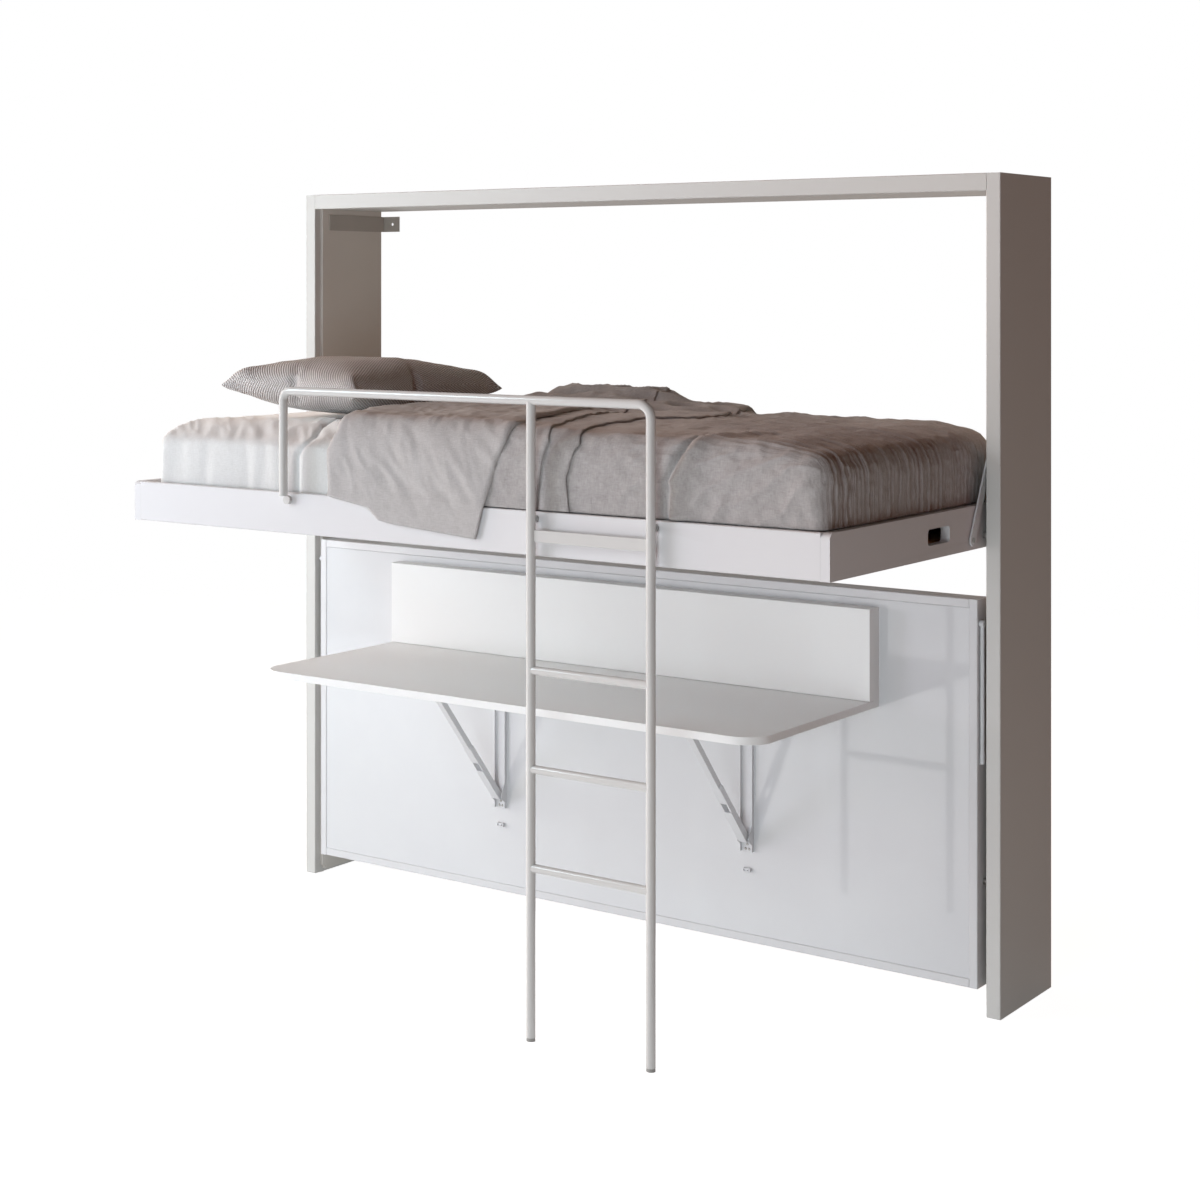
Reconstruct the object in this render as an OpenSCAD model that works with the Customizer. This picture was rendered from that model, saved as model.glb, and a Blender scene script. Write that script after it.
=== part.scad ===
// Wall bed with a fold-down desk: an open wall frame that carries two single beds, one above
// the other, each on its own pivots. The upper bed is down and made up, with a tube guard
// rail and ladder in front. The lower bed is up, and its underside carries the desk.
// Millimetres. X runs along the wall, +Y into the wall, +Z up from the floor.

/* [Frame] */
// Outside width of the frame, along the wall
frame_w = 2140; // [2060:10:2300]
// Height of the frame
frame_h = 2010; // [2005:5:2120]
// Depth of the frame, from its front to the wall
frame_d = 320; // [315:5:400]
// Thickness of each side board
side_t = 35; // [28:1:45]
// Thickness of the top board
top_t = 42; // [28:1:46]
// Thickness of the liner plate inside each side board
liner_t = 10; // [8:1:14]
// Step back of the liner from the front of the side board
liner_step = 24; // [15:1:40]

/* [Upper bed] */
// Height of the upper bed's underside above the floor, when it is down
upper_under = 1116; // [1105:1:1120]
// Reach of the upper bed in front of the frame
upper_reach = 778; // [740:1:780]
// Length of upper bed behind the front of the frame
upper_tail = 170; // [150:1:172]
// Height of the upper bed's rails
upper_rail_h = 103; // [90:1:120]
// Thickness of the upper bed's boards
upper_board_t = 22; // [18:1:25]
// Distance of the upper pivot behind the front and above the underside
upper_pivot_set = 30; // [24:1:31]
// Clearance between the upper bed and each liner
upper_side_gap = 8; // [8:0.5:12]
// Height of the upper mattress
upper_mattress_h = 248; // [190:1:252]

/* [Lower bed] */
// Height of the lower bed's bottom edge above the floor, when it is up
lower_bottom = 65; // [60:1:80]
// Height of the lower bed's panel
lower_h = 928; // [880:1:930]
// Depth of the lower bed's box
lower_d = 70; // [60:1:80]
// Thickness of the lower bed's boards, seen as the light border
lower_board_t = 21; // [18:1:25]
// Clearance between the lower bed and each liner
lower_side_gap = 12; // [12:0.5:16]
// Height of the lower pivot above the floor
lower_pivot_z = 315; // [300:1:316]
// Distance of the lower pivot behind the front of the frame
lower_pivot_set = 40; // [35:1:45]
// Height of the lower mattress
lower_mattress_h = 160; // [120:1:162]

/* [Desk] */
// Width of the desk top
desk_w = 1470; // [1200:10:1500]
// Depth of the desk top, from its hinge to its front edge
desk_d = 592; // [500:1:600]
// Thickness of the desk top
desk_t = 18; // [16:1:25]
// Height of the desk top's surface above the floor
desk_z = 727; // [700:1:760]
// Radius of the desk top's two front corners
desk_corner = 70; // [30:1:120]
// Sideways place of the desk's middle
desk_x = 25; // [-20:1:30]
// Thickness of the batten that spaces the desk off the panel
batten_t = 30; // [29:1:36]
// Thickness of the upstand board
upstand_t = 20; // [16:1:24]
// Height of the upstand's top above the floor
upstand_top = 953; // [900:1:960]
// Distance between the two folding brackets
bracket_pitch = 765; // [600:5:900]
// Width of a bracket's wall channel
bracket_w = 35; // [34:1:45]
// Distance from the desk hinge out to the strut's pivot on the desk
strut_out = 306; // [280:1:340]
// Distance from the desk hinge down to the strut's pivot on the panel
strut_down = 373; // [345:1:400]

/* [Guard rail and ladder] */
// Diameter of the tube
tube_d = 22; // [18:1:26]
// Distance from the front of the upper bed to the middle of the tube
tube_off = 22; // [20:1:30]
// Height of the middle of the top rail above the floor
guard_z = 1477; // [1400:1:1520]
// Sideways place of the guard rail's left leg
guard_left_x = -476; // [-700:1:-400]
// Sideways place of the ladder's left post
post_left_x = 274; // [150:1:300]
// Distance between the two posts
post_pitch = 320; // [260:1:360]
// Height of the lowest rung above the floor
rung_low = 399; // [250:1:400]
// Distance from one rung to the next
rung_pitch = 228; // [200:1:250]
// Outer radius of the bend at the top right
guard_bend = 42; // [34:1:60]

/* [Hidden] */
$fn = 48;
seat = 0.3;        // running gap between a piece and the one that carries it
fit = 0.05;        // radial clearance of a pin in its bore
edge = 1.5;        // small chamfer along every board
frame_white = "#dddbd8";
shade_white = "#cfccc8";
gloss_white = "#dfe0e4";
steel = "#c9c9c8";
nylon = "#8e8d8a";

// Frame, derived
side_in = frame_w / 2 - side_t;
liner_in = side_in - liner_t;
liner_bottom = 12;
liner_top = frame_h - top_t - seat;
liner_back = frame_d - 15;
glide_h = 3;

// Upper bed, derived
upper_x = liner_in - upper_side_gap;
upper_pivot = [upper_pivot_set, upper_under + upper_pivot_set];
upper_top = upper_under + upper_rail_h;
upper_face_t = 16;
slat_t = 8;
bearer_h = 4.5;
face_inset = 1.5;   // step of each glossy panel behind the edges of its boards
upper_slat_z = upper_under + face_inset + upper_face_t + bearer_h;
upper_bed_z = upper_slat_z + slat_t + seat;

// Lower bed, derived
lower_x = liner_in - lower_side_gap;
lower_top = lower_bottom + lower_h;
lower_face_t = 16;
lower_slat_y = face_inset + lower_face_t + bearer_h;
lower_bed_y = lower_slat_y + slat_t + seat;
pivot_r = 8;
bush_wall = 3;

// Legs, derived: a leg folds by leg_swing and then stands on the floor
leg_d = 10;
leg_swing = 60;
leg_y = 15;
leg_z = lower_top - 58;
leg_gap = 1;
leg_stand = lower_pivot_z - (lower_pivot_set - leg_y);
leg_len = leg_stand / sin(leg_swing);
leg_x = lower_x + leg_gap + leg_d / 2;

// Desk, derived. A point in the plane of a bracket is [y, z]
knuckle_r = 3.5;
hinge = [-batten_t, desk_z - desk_t - knuckle_r - 0.15];
upstand_y = -(batten_t + seat + upstand_t);
strut_drop = 12;
strut_top = [hinge[0] - strut_out, hinge[1] - strut_drop];
strut_foot = [hinge[0] + strut_drop, hinge[1] - strut_down];
strut_run = [strut_top[0] - strut_foot[0], strut_top[1] - strut_foot[1]];
strut_len = norm(strut_run);
// The two struts fold flat on each other when the desk hangs down
lower_strut_len = (strut_len - (strut_down - strut_out)) / 2;
upper_strut_len = strut_len - lower_strut_len;
strut_lean = atan2(strut_run[1], -strut_run[0]);
elbow = strut_foot + strut_run * lower_strut_len / strut_len;
strut_pin_r = 3;
strut_end_r = 8;
strut_in_w = 17.4;
strut_cheek = 2.5;
strut_web = [strut_end_r + seat, strut_end_r + seat + 2];   // from the line of its pivots
web_len = 0.57 * lower_strut_len;
strut_tail = 0.2 * upper_strut_len;
bracket_mid = desk_x - 8;
bracket_xs = [bracket_mid - bracket_pitch / 2, bracket_mid + bracket_pitch / 2];

// Stay arms, derived
stay_pin = [-46, upper_under + 24];
stay_len = 250;
stay_slot_y = 68;
stay_rise = sqrt(pow(stay_len, 2) - pow(stay_slot_y - stay_pin[0], 2));
stay_tip = [stay_slot_y, stay_pin[1] + stay_rise];
stay_t = 4;
stay_x = upper_x + 2;

// Guard rail and ladder, derived
tube_r = tube_d / 2;
tube_y = -(upper_reach + tube_off);
post_right_x = post_left_x + post_pitch;
front_reach = -tube_y + tube_r;
rung_d = 20;

// The part's origin is at the middle of its footprint
y_shift = (front_reach - frame_d) / 2;
module placed() { translate([0, y_shift, 0]) children(); }

// ---- shapes that repeat ----

// Outline of a board with a small chamfer on its four edges
function chamfered(w, h, c = edge) =
  [[c, 0], [w - c, 0], [w, c], [w, h - c], [w - c, h], [c, h], [0, h - c], [0, c]];

// Boards that run along X, Y and Z from the corner at the origin
module board_x(size, c = edge)
  rotate([90, 0, 90]) linear_extrude(size[0]) polygon(chamfered(size[1], size[2], c));
module board_y(size, c = edge)
  translate([0, size[1], 0]) rotate([90, 0, 0])
    linear_extrude(size[1]) polygon(chamfered(size[0], size[2], c));
module board_z(size, c = edge) linear_extrude(size[2]) polygon(chamfered(size[0], size[1], c));

// Rod along X between two X values, at a [y, z]
module rod_x(x0, x1, at, r)
  translate([min(x0, x1), at[0], at[1]]) rotate([0, 90, 0]) cylinder(r = r, h = abs(x1 - x0));

// Flat plate in the YZ plane between two [y, z] points, with round ends, from x0, t thick
module link_plate(a, b, ra, rb, x0, t) {
  run = b - a;
  len = norm(run);
  turn = atan2(run[1], run[0]);
  spread = asin((ra - rb) / len);
  side_a = [for (s = [1, -1]) ra * [sin(spread), s * cos(spread)]];
  side_b = [for (s = [1, -1]) [len + rb * sin(spread), s * rb * cos(spread)]];
  translate([x0, a[0], a[1]]) rotate([90, 0, 90]) rotate(turn) {
    cylinder(r = ra, h = t);
    translate([len, 0, 0]) cylinder(r = rb, h = t);
    linear_extrude(t) polygon([side_a[0], side_b[0], side_b[1], side_a[1]]);
  }
}

module on_side(s) { if (s > 0) children(); else mirror([1, 0, 0]) children(); }

// ---- the wall frame ----

// Right-hand side board, from the floor glides to the top, with two blind pivot holes
module side_board() difference() {
  translate([side_in, 0, glide_h]) board_z([side_t, frame_d, frame_h - glide_h]);
  for (at = [upper_pivot, [lower_pivot_set, lower_pivot_z]])
    rod_x(side_in - 1, side_in + 22, at, pivot_r + bush_wall);
}
module left_side_board() color(frame_white) placed() on_side(-1) side_board();
module right_side_board() color(frame_white) placed() on_side(1) side_board();

module top_board() color(frame_white) placed()
  translate([-side_in, 0, frame_h - top_t]) board_x([2 * side_in, frame_d, top_t]);

// Liner plate that carries the pivots and the stay guide, with a notch at its foot
module liner() difference() {
  translate([liner_in, liner_step, liner_bottom])
    board_z([liner_t, liner_back - liner_step, liner_top - liner_bottom], 0.8);
  translate([liner_in - 1, liner_step - 1, liner_bottom - 1]) cube([liner_t + 2, 12, 14]);
  for (at = [upper_pivot, [lower_pivot_set, lower_pivot_z]])
    rod_x(liner_in - 1, side_in + 1, at, pivot_r + bush_wall);
}
module left_liner() color(shade_white) placed() on_side(-1) liner();
module right_liner() color(shade_white) placed() on_side(1) liner();

// Angle plate under the top board: its long leg lies on the liner, its short leg on the wall
plate_t = 3;
plate_h = 46;
plate_z = frame_h - 104;
wall_hole_x = liner_in - 34;
wall_hole_top = plate_z + plate_h / 2;
wall_hole_low = 85;
wall_hole_r = 4.5;
module wall_plate() difference() {
  union() {
    translate([liner_in - plate_t - seat, 54, plate_z]) cube([plate_t, frame_d - 54, plate_h]);
    translate([liner_in - 60, frame_d - plate_t, plate_z]) cube([60 - seat, plate_t, plate_h]);
  }
  translate([wall_hole_x, frame_d + 1, wall_hole_top]) rotate([90, 0, 0])
    cylinder(r = wall_hole_r, h = plate_t + 2);
}
module wall_plates() color(steel) placed() for (s = [-1, 1]) on_side(s) wall_plate();

// Tie rail low at the back, screwed to the wall through two holes
tie_low = 60;
tie_h = 2 * (wall_hole_low - tie_low);
tie_t = 12;
module rear_tie_rail() color(shade_white) placed() difference() {
  translate([-side_in + seat, frame_d - tie_t, tie_low])
    board_x([2 * (side_in - seat), tie_t, tie_h]);
  for (s = [-1, 1]) translate([s * wall_hole_x, frame_d + 1, wall_hole_low])
    rotate([90, 0, 0]) cylinder(r = wall_hole_r, h = tie_t + 2);
}

module floor_glides() color(nylon) placed()
  for (s = [-1, 1], y = [40, frame_d - 40]) translate([s * (side_in + side_t / 2), y, 0]) {
    cylinder(r = 13, h = glide_h);
  }

// Plain bushes pressed into the liner and the side board
module pivot_bushes() color(nylon) placed()
  for (s = [-1, 1], at = [upper_pivot, [lower_pivot_set, lower_pivot_z]]) on_side(s)
    difference() {
      rod_x(liner_in, side_in + 21, at, pivot_r + bush_wall);
      rod_x(liner_in - 1, side_in + 20, at, pivot_r + fit);
    }

// Guide on the liner in which the stay arm's upper end runs up as the bed closes
guide_w = 46;
guide_y = stay_slot_y - 8;
slot_w = 31;
guide_t = 1.4;
guide_low = stay_tip[1] - 20;
guide_high = stay_tip[1] + 0.56 * stay_len;
module stay_guide() difference() {
  translate([liner_in - guide_t, guide_y - guide_w / 2, guide_low])
    board_z([guide_t, guide_w, guide_high - guide_low], 0.3);
  translate([liner_in - guide_t - 1, guide_y - slot_w / 2, guide_low + 6])
    cube([guide_t + 2, slot_w, guide_high - guide_low - 12]);
}
module stay_guides() color(steel) placed() for (s = [-1, 1]) on_side(s) stay_guide();

// Rubber-faced blocks on the liners that the upper bed's tail comes up against
stop_y = upper_tail - 26;
stop_h = 16;
stop_w = 19;
module bed_stops() color(nylon) placed() for (s = [-1, 1]) on_side(s)
  translate([liner_in - stop_w, stop_y, upper_top + seat]) board_z([stop_w, 22, stop_h]);

// ---- the upper bed ----

bed_end_y = [-upper_reach, upper_tail];
upper_in = upper_x - upper_board_t;
rail_round = 14;

// Outline of an end board in [y, z], with its top front corner rounded
module upper_end_outline() difference() {
  translate([bed_end_y[0], upper_under]) square([upper_reach + upper_tail, upper_rail_h]);
  translate([bed_end_y[0], upper_top]) rotate(-90) difference() {
    square(rail_round);
    translate([rail_round, rail_round]) circle(r = rail_round);
  }
}
hand_hole = [-228, upper_under + 50];
hand_hole_w = 120;
hand_hole_h = 38;
hand_hole_r = 10;
module upper_end() difference() {
  translate([upper_in, 0, 0]) rotate([90, 0, 90]) linear_extrude(upper_board_t) difference() {
    upper_end_outline();
    translate(hand_hole) offset(r = hand_hole_r)
      square([hand_hole_w - 2 * hand_hole_r, hand_hole_h - 2 * hand_hole_r], center = true);
  }
  rod_x(upper_in - 1, upper_x + 1, upper_pivot, pivot_r + fit);
  rod_x(upper_x - 12, upper_x + 1, stay_pin, 4 + fit);
}
module upper_left_end() color(frame_white) placed() on_side(-1) upper_end();
module upper_right_end() color(frame_white) placed() on_side(1) upper_end();

module upper_front_rail() color(frame_white) placed() difference() {
  translate([-upper_in + seat, bed_end_y[0], upper_under])
    board_x([2 * (upper_in - seat), upper_board_t, upper_rail_h], 2);
  for (x = clip_xs) translate([x, bed_end_y[0] - 1, clip_z]) rotate([-90, 0, 0])
    cylinder(r = 2.5, h = 13);
}
module upper_rear_rail() color(frame_white) placed()
  translate([-upper_in + seat, bed_end_y[1] - upper_board_t, upper_under])
    board_x([2 * (upper_in - seat), upper_board_t, upper_rail_h], 2);

// Underside of the upper bed, inset between its boards; it is the front when the bed is up
module upper_face_panel() color(gloss_white) placed()
  translate([-upper_in + seat, bed_end_y[0] + upper_board_t + seat, upper_under + face_inset])
    board_x([2 * (upper_in - seat), upper_reach + upper_tail - 2 * (upper_board_t + seat),
      upper_face_t], 0.8);

// Sprung slats across the bed, on a bearer along each rail
slat_count = 14;
slat_w = 68;
module slat_set(length, span) {
  step = (length - slat_w - 40) / (slat_count - 1);
  for (i = [0 : slat_count - 1]) translate([-(length - 40) / 2 + i * step, 0, 0])
    board_y([slat_w, span, slat_t], 2);
  for (y = [0, span - 22]) translate([-length / 2, y, -bearer_h]) board_x([length, 22, bearer_h]);
}
module upper_slats() color("#d9c8a8") placed()
  translate([0, bed_end_y[0] + upper_board_t + 2, upper_slat_z])
    slat_set(2 * upper_in - 8, upper_reach + upper_tail - 2 * upper_board_t - 4);

// Pivot pin with a flange inside the end board
module upper_pivot_pins() color(steel) placed() for (s = [-1, 1]) on_side(s) {
  rod_x(upper_in, side_in + 19, upper_pivot, pivot_r);
  rod_x(upper_in - 2.5, upper_in, upper_pivot, 12);
}
module upper_stay_pins() color(steel) placed() for (s = [-1, 1]) on_side(s) {
  rod_x(upper_x - 11, stay_x + stay_t, stay_pin, 4);
  rod_x(stay_x + stay_t, stay_x + stay_t + 1.2, stay_pin, 6.5);
}

// Magnet pads on the front rail, against which the two posts stand. They reach no further
// than the bed's swing leaves room for under the top board.
clip_xs = [post_left_x, post_right_x];
clip_z = upper_top - 16;
clip_r = 8;
clip_reach = tube_off - tube_r - 2 * seat;
module ladder_clip() rotate([-90, 0, 0]) {
  translate([0, 0, tube_r + seat]) cylinder(r1 = clip_r - 1, r2 = clip_r, h = 1);
  translate([0, 0, tube_r + seat + 1]) cylinder(r = clip_r, h = clip_reach - 1);
  translate([0, 0, tube_off - seat]) cylinder(r = 2.4, h = 10);
}
module ladder_clips() color(steel) placed() for (x = clip_xs)
  translate([x, tube_y, clip_z]) ladder_clip();

// Stay arm: a tapered plate from the bed's end board up to the guide on the liner
module stay_arm(s) placed() on_side(s) {
  difference() {
    link_plate(stay_pin, stay_tip, 15, 10, stay_x, stay_t);
    rod_x(stay_x - 1, stay_x + stay_t + 1, stay_pin, 4 + fit);
  }
  rod_x(stay_x + stay_t, liner_in - 0.2, stay_tip, 5);
}
module left_stay_arm() color(frame_white) stay_arm(-1);
module right_stay_arm() color(frame_white) stay_arm(1);

// ---- bedding ----

// Closed pad over a grid of u, v from -1 to 1: top(u, v) and under(u, v) return a point
function grid_index(i, j, nv, base = 0) = base + i * (nv + 1) + j;
function spread(i, n) = sin(-90 + 180 * i / n);
module pad(nu, nv, top, under) {
  count = (nu + 1) * (nv + 1);
  points = concat(
    [for (i = [0 : nu], j = [0 : nv]) top(spread(i, nu), spread(j, nv))],
    [for (i = [0 : nu], j = [0 : nv]) under(spread(i, nu), spread(j, nv))]);
  rim = concat(
    [for (j = [0 : nv - 1]) [0, j]], [for (i = [0 : nu - 1]) [i, nv]],
    [for (j = [nv : -1 : 1]) [nu, j]], [for (i = [nu : -1 : 1]) [i, 0]]);
  faces = concat(
    [for (i = [0 : nu - 1], j = [0 : nv - 1])
      each [[grid_index(i, j, nv), grid_index(i, j + 1, nv), grid_index(i + 1, j + 1, nv)],
            [grid_index(i, j, nv), grid_index(i + 1, j + 1, nv), grid_index(i + 1, j, nv)]]],
    [for (i = [0 : nu - 1], j = [0 : nv - 1])
      each [[grid_index(i, j, nv, count), grid_index(i + 1, j + 1, nv, count),
             grid_index(i, j + 1, nv, count)],
            [grid_index(i, j, nv, count), grid_index(i + 1, j, nv, count),
             grid_index(i + 1, j + 1, nv, count)]]],
    [for (k = [0 : len(rim) - 1]) let (a = rim[k], b = rim[(k + 1) % len(rim)])
      each [[grid_index(a[0], a[1], nv), grid_index(a[0], a[1], nv, count),
             grid_index(b[0], b[1], nv, count)],
            [grid_index(a[0], a[1], nv), grid_index(b[0], b[1], nv, count),
             grid_index(b[0], b[1], nv)]]]);
  polyhedron(points, faces);
}
// Rounded swell that is 1 in the middle and 0 at the rim
function swell(u, v, n) = pow(max(0, 1 - pow(abs(u), n)), 1 / n) *
                          pow(max(0, 1 - pow(abs(v), n)), 1 / n);

mattress_x = upper_in - 4;
mattress_y = [bed_end_y[0] + upper_board_t + 3, bed_end_y[1] - upper_board_t - 3];
mattress_mid_y = (mattress_y[0] + mattress_y[1]) / 2;
mattress_half_y = (mattress_y[1] - mattress_y[0]) / 2;
mattress_top = upper_bed_z + upper_mattress_h;
crown = 15;
// Height of the made-up mattress at a place on it
function sheet_z(x, y) = mattress_top - crown * (1 - (1 - pow(x / mattress_x, 2)) *
  (1 - pow((y - mattress_mid_y) / mattress_half_y, 2)));
// Mattress with a straight band round its middle and a crowned top, in its fitted sheet
module mattress(half_x, half_y, height, crown, grow = 0) {
  band = [height * 0.35, height * 0.65];
  top = function(u, v) let (s = swell(u, v, 7))
    [u * (half_x + grow), v * (half_y + grow),
     band[1] + (height - band[1] + grow - crown) * s + crown * s * (1 - u * u) * (1 - v * v)];
  under = function(u, v) let (s = swell(u, v, 9))
    [u * (half_x + grow), v * (half_y + grow), band[0] * (1 - s)];
  pad(16, 12, top, under);
}
module upper_mattress() color("#d5d3d0") placed()
  translate([0, mattress_mid_y, upper_bed_z])
    mattress(mattress_x, mattress_half_y, upper_mattress_h, crown);

// Pillow at the head of the bed. It rests on its bulge, with its rim and corners clear of the bed
pillow_from_end = 351;
pillow_from_front = 488;
pillow_mid = [pillow_from_end - mattress_x, mattress_y[0] + pillow_from_front];
pillow_half = [245, 330];
pillow_h = 159;
pillow_rim = 89;
pillow_tilt = 5.5;   // the rim stands this much higher towards the left and towards the front
rim_t = 2;
pillow_waist = 0.07;
module upper_pillow() color("#a29d98") placed() {
  foot = sheet_z(pillow_mid[0], pillow_mid[1]);
  waist = function(w) 1 - pillow_waist * (1 - w * w);
  at_x = function(u, v) pillow_mid[0] + u * pillow_half[0] * waist(v);
  at_y = function(u, v) pillow_mid[1] + v * pillow_half[1] * waist(u);
  rim = function(u, v) pillow_rim - pillow_tilt * (u + v);
  top = function(u, v) [at_x(u, v), at_y(u, v),
    foot + rim(u, v) + rim_t + (pillow_h - rim(u, v) - rim_t) * swell(u, v, 2.2)];
  under = function(u, v) [at_x(u, v), at_y(u, v), max(
    sheet_z(at_x(u, v), at_y(u, v)) + seat, foot + rim(u, v) * (1 - swell(u, v, 2.4)))];
  pad(16, 18, top, under);
}

// Duvet: laid over the mattress, tucked down round it, with a flap over the front rail
duvet_from_end = 613;
duvet_x = [duvet_from_end - mattress_x, mattress_x + 12];
duvet_y = [mattress_y[0] - 12, mattress_y[1] + 12];
duvet_low = upper_top + 2;
duvet_band = upper_bed_z + 0.7 * upper_mattress_h;   // top of its upright sides
duvet_t = 22;
flap_w = 562;
flap_drop = 76;
flap_t = 5;
flap_gap = 1;
// Low waves all over, and the heap into which the duvet is thrown back along its rear
function ease(v, from, to) = let (t = max(0, min(1, (v - from) / (to - from)))) t * t * (3 - 2 * t);
function fold_wave(x, y) = 5 * sin(x * 0.9 + y * 0.35) + 4 * sin(x * 0.37 - y * 0.8 + 50)
  + ease(y, -150, 100) * (44 * ease(-x, -230, -120) + 14 * ease(-x, -700, -300));
module duvet_cover() {
  mid = [(duvet_x[0] + duvet_x[1]) / 2, (duvet_y[0] + duvet_y[1]) / 2];
  half = [(duvet_x[1] - duvet_x[0]) / 2, (duvet_y[1] - duvet_y[0]) / 2];
  inside = function(x, limit) max(-limit, min(limit, x));
  top = function(u, v) let (s = swell(u, v, 7), x = mid[0] + u * half[0], y = mid[1] + v * half[1],
      bed = sheet_z(inside(x, mattress_x), mattress_mid_y + v * mattress_half_y))
    [x, y, duvet_band + (bed + duvet_t - duvet_band + fold_wave(x, y)) * s];
  under = function(u, v) [mid[0] + u * half[0], mid[1] + v * half[1], duvet_low];
  pad(26, 18, top, under);
}
// The flap leaves the duvet high on the mattress's side and hangs over the rail. Its left end
// stays on the rail, and its right edge slants down to the free corner.
flap_slope = 67;
module duvet_flap() {
  rail = bed_end_y[0];
  lip = upper_top + flap_gap;
  high = mattress_top - crown - flap_slope;
  inner = [[mattress_y[0] - 3, high], [mattress_y[0] - 6, lip + 40], [rail + 8, lip + 8],
    [rail + 2, lip + 1], [rail - flap_gap, lip], [rail - flap_gap, upper_top - flap_drop]];
  outer = [[rail - flap_gap - flap_t, upper_top - flap_drop],
    [rail - flap_gap - flap_t, lip - 6], [rail - 4, lip + 8], [rail + 3, lip + 18],
    [mattress_y[0] - 16, lip + 50], [mattress_y[0] - 13, high]];
  hem = [[0, 0], [65, -6], [154, -20], [193, -50], [237, -57], [485, -flap_drop],
    [511, 18], [540, 113], [flap_w, 161], [flap_w, 200], [0, 200]];
  intersection() {
    translate([duvet_x[0], 0, 0]) rotate([90, 0, 90])
      linear_extrude(flap_w) polygon(concat(inner, outer));
    translate([duvet_x[0], rail + 60, upper_top]) rotate([90, 0, 0])
      linear_extrude(90) polygon(hem);
  }
}
module upper_duvet() color("#a5a09c") placed() {
  difference() {
    duvet_cover();
    translate([0, mattress_mid_y, upper_bed_z])
      mattress(mattress_x, mattress_half_y, upper_mattress_h, crown, 1);
  }
  duvet_flap();
}

// ---- the lower bed ----

lower_in = lower_x - lower_board_t;
module lower_end() difference() {
  translate([lower_in, 0, lower_bottom]) board_z([lower_board_t, lower_d, lower_h]);
  rod_x(lower_in - 1, lower_x + 1, [lower_pivot_set, lower_pivot_z], pivot_r + fit);
  rod_x(lower_x - 14, lower_x + 1, [leg_y, leg_z], 3 + fit);
}
module lower_left_end() color(frame_white) placed() on_side(-1) lower_end();
module lower_right_end() color(frame_white) placed() on_side(1) lower_end();
module lower_top_rail() color(frame_white) placed()
  translate([-lower_in + seat, 0, lower_top - lower_board_t])
    board_x([2 * (lower_in - seat), lower_d, lower_board_t]);
module lower_bottom_rail() color(frame_white) placed()
  translate([-lower_in + seat, 0, lower_bottom])
    board_x([2 * (lower_in - seat), lower_d, lower_board_t]);

// High-gloss underside of the lower bed, the unit's front when the bed is up
module lower_face_panel() color(gloss_white) placed() difference() {
  translate([-lower_in + seat, face_inset, lower_bottom + lower_board_t + seat])
    board_x([2 * (lower_in - seat), lower_face_t, lower_h - 2 * (lower_board_t + seat)], 0.8);
  for (x = bracket_xs, at = screw_spots) translate([x + at[0], -1, at[1]]) rotate([-90, 0, 0])
    cylinder(r = 2.1, h = 14);
}
module lower_slats() color("#d9c8a8") placed()
  translate([0, lower_slat_y, lower_top - lower_board_t - 2]) rotate([-90, 0, 0])
    slat_set(2 * lower_in - 8, lower_h - 2 * lower_board_t - 4);
module lower_mattress() color("#d5d3d0") placed()
  translate([0, lower_bed_y, (lower_bottom + lower_top) / 2]) rotate([-90, 0, 0])
    mattress(lower_in - 6, lower_h / 2 - lower_board_t - 5, lower_mattress_h, 3);
module lower_pivot_pins() color(steel) placed() for (s = [-1, 1]) on_side(s) {
  rod_x(lower_in, side_in + 19, [lower_pivot_set, lower_pivot_z], pivot_r);
  rod_x(lower_in - 2.5, lower_in, [lower_pivot_set, lower_pivot_z], 13);
}
module leg_pivots() color(steel) placed() for (s = [-1, 1]) on_side(s)
  rod_x(lower_x - 13, leg_x + leg_d / 2 + 0.6, [leg_y, leg_z], 3);

// Folding leg: a rod with an eye at its pivot and a foot cap, in the gap beside the bed
module leg(s) placed() on_side(s) difference() {
  union() {
    rod_x(leg_x - leg_d / 2, leg_x + leg_d / 2, [leg_y, leg_z], 8);
    translate([leg_x, leg_y, leg_z - leg_len + 20]) cylinder(r = leg_d / 2, h = leg_len - 26);
    translate([leg_x, leg_y, leg_z - leg_len]) cylinder(r = leg_d / 2 + 0.5, h = 26);
  }
  rod_x(leg_x - leg_d, leg_x + leg_d, [leg_y, leg_z], 3 + fit);
}
module left_leg() color(frame_white) leg(-1);
module right_leg() color(frame_white) leg(1);

// ---- the desk ----

desk_left = desk_x - desk_w / 2;
module desk_batten() color(frame_white) placed()
  translate([desk_left, -batten_t, desk_z - desk_t])
    board_x([desk_w, batten_t + face_inset, upstand_top - desk_z + desk_t]);
module desk_upstand() color(frame_white) placed()
  translate([desk_left, upstand_y, desk_z + seat])
    board_x([desk_w, upstand_t, upstand_top - desk_z - seat]);

// Desk top with round front corners, and a shallow rebate that clears the upstand's foot
rebate = 0.5;
module desk_top() color(frame_white) placed() difference() {
  translate([desk_x, hinge[0] - seat, desk_z - desk_t]) linear_extrude(desk_t) {
    half = desk_w / 2;
    polygon(concat([[-half, 0], [half, 0]],
      [for (a = [0 : 6 : 90]) [half - desk_corner + desk_corner * cos(a),
        -desk_d + desk_corner - desk_corner * sin(a)]],
      [for (a = [90 : 6 : 180]) [-half + desk_corner + desk_corner * cos(a),
        -desk_d + desk_corner - desk_corner * sin(a)]]));
  }
  translate([desk_left - 1, upstand_y - 2 * seat, desk_z - rebate])
    cube([desk_w + 2, upstand_t + 4 * seat, 1]);
}

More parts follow.
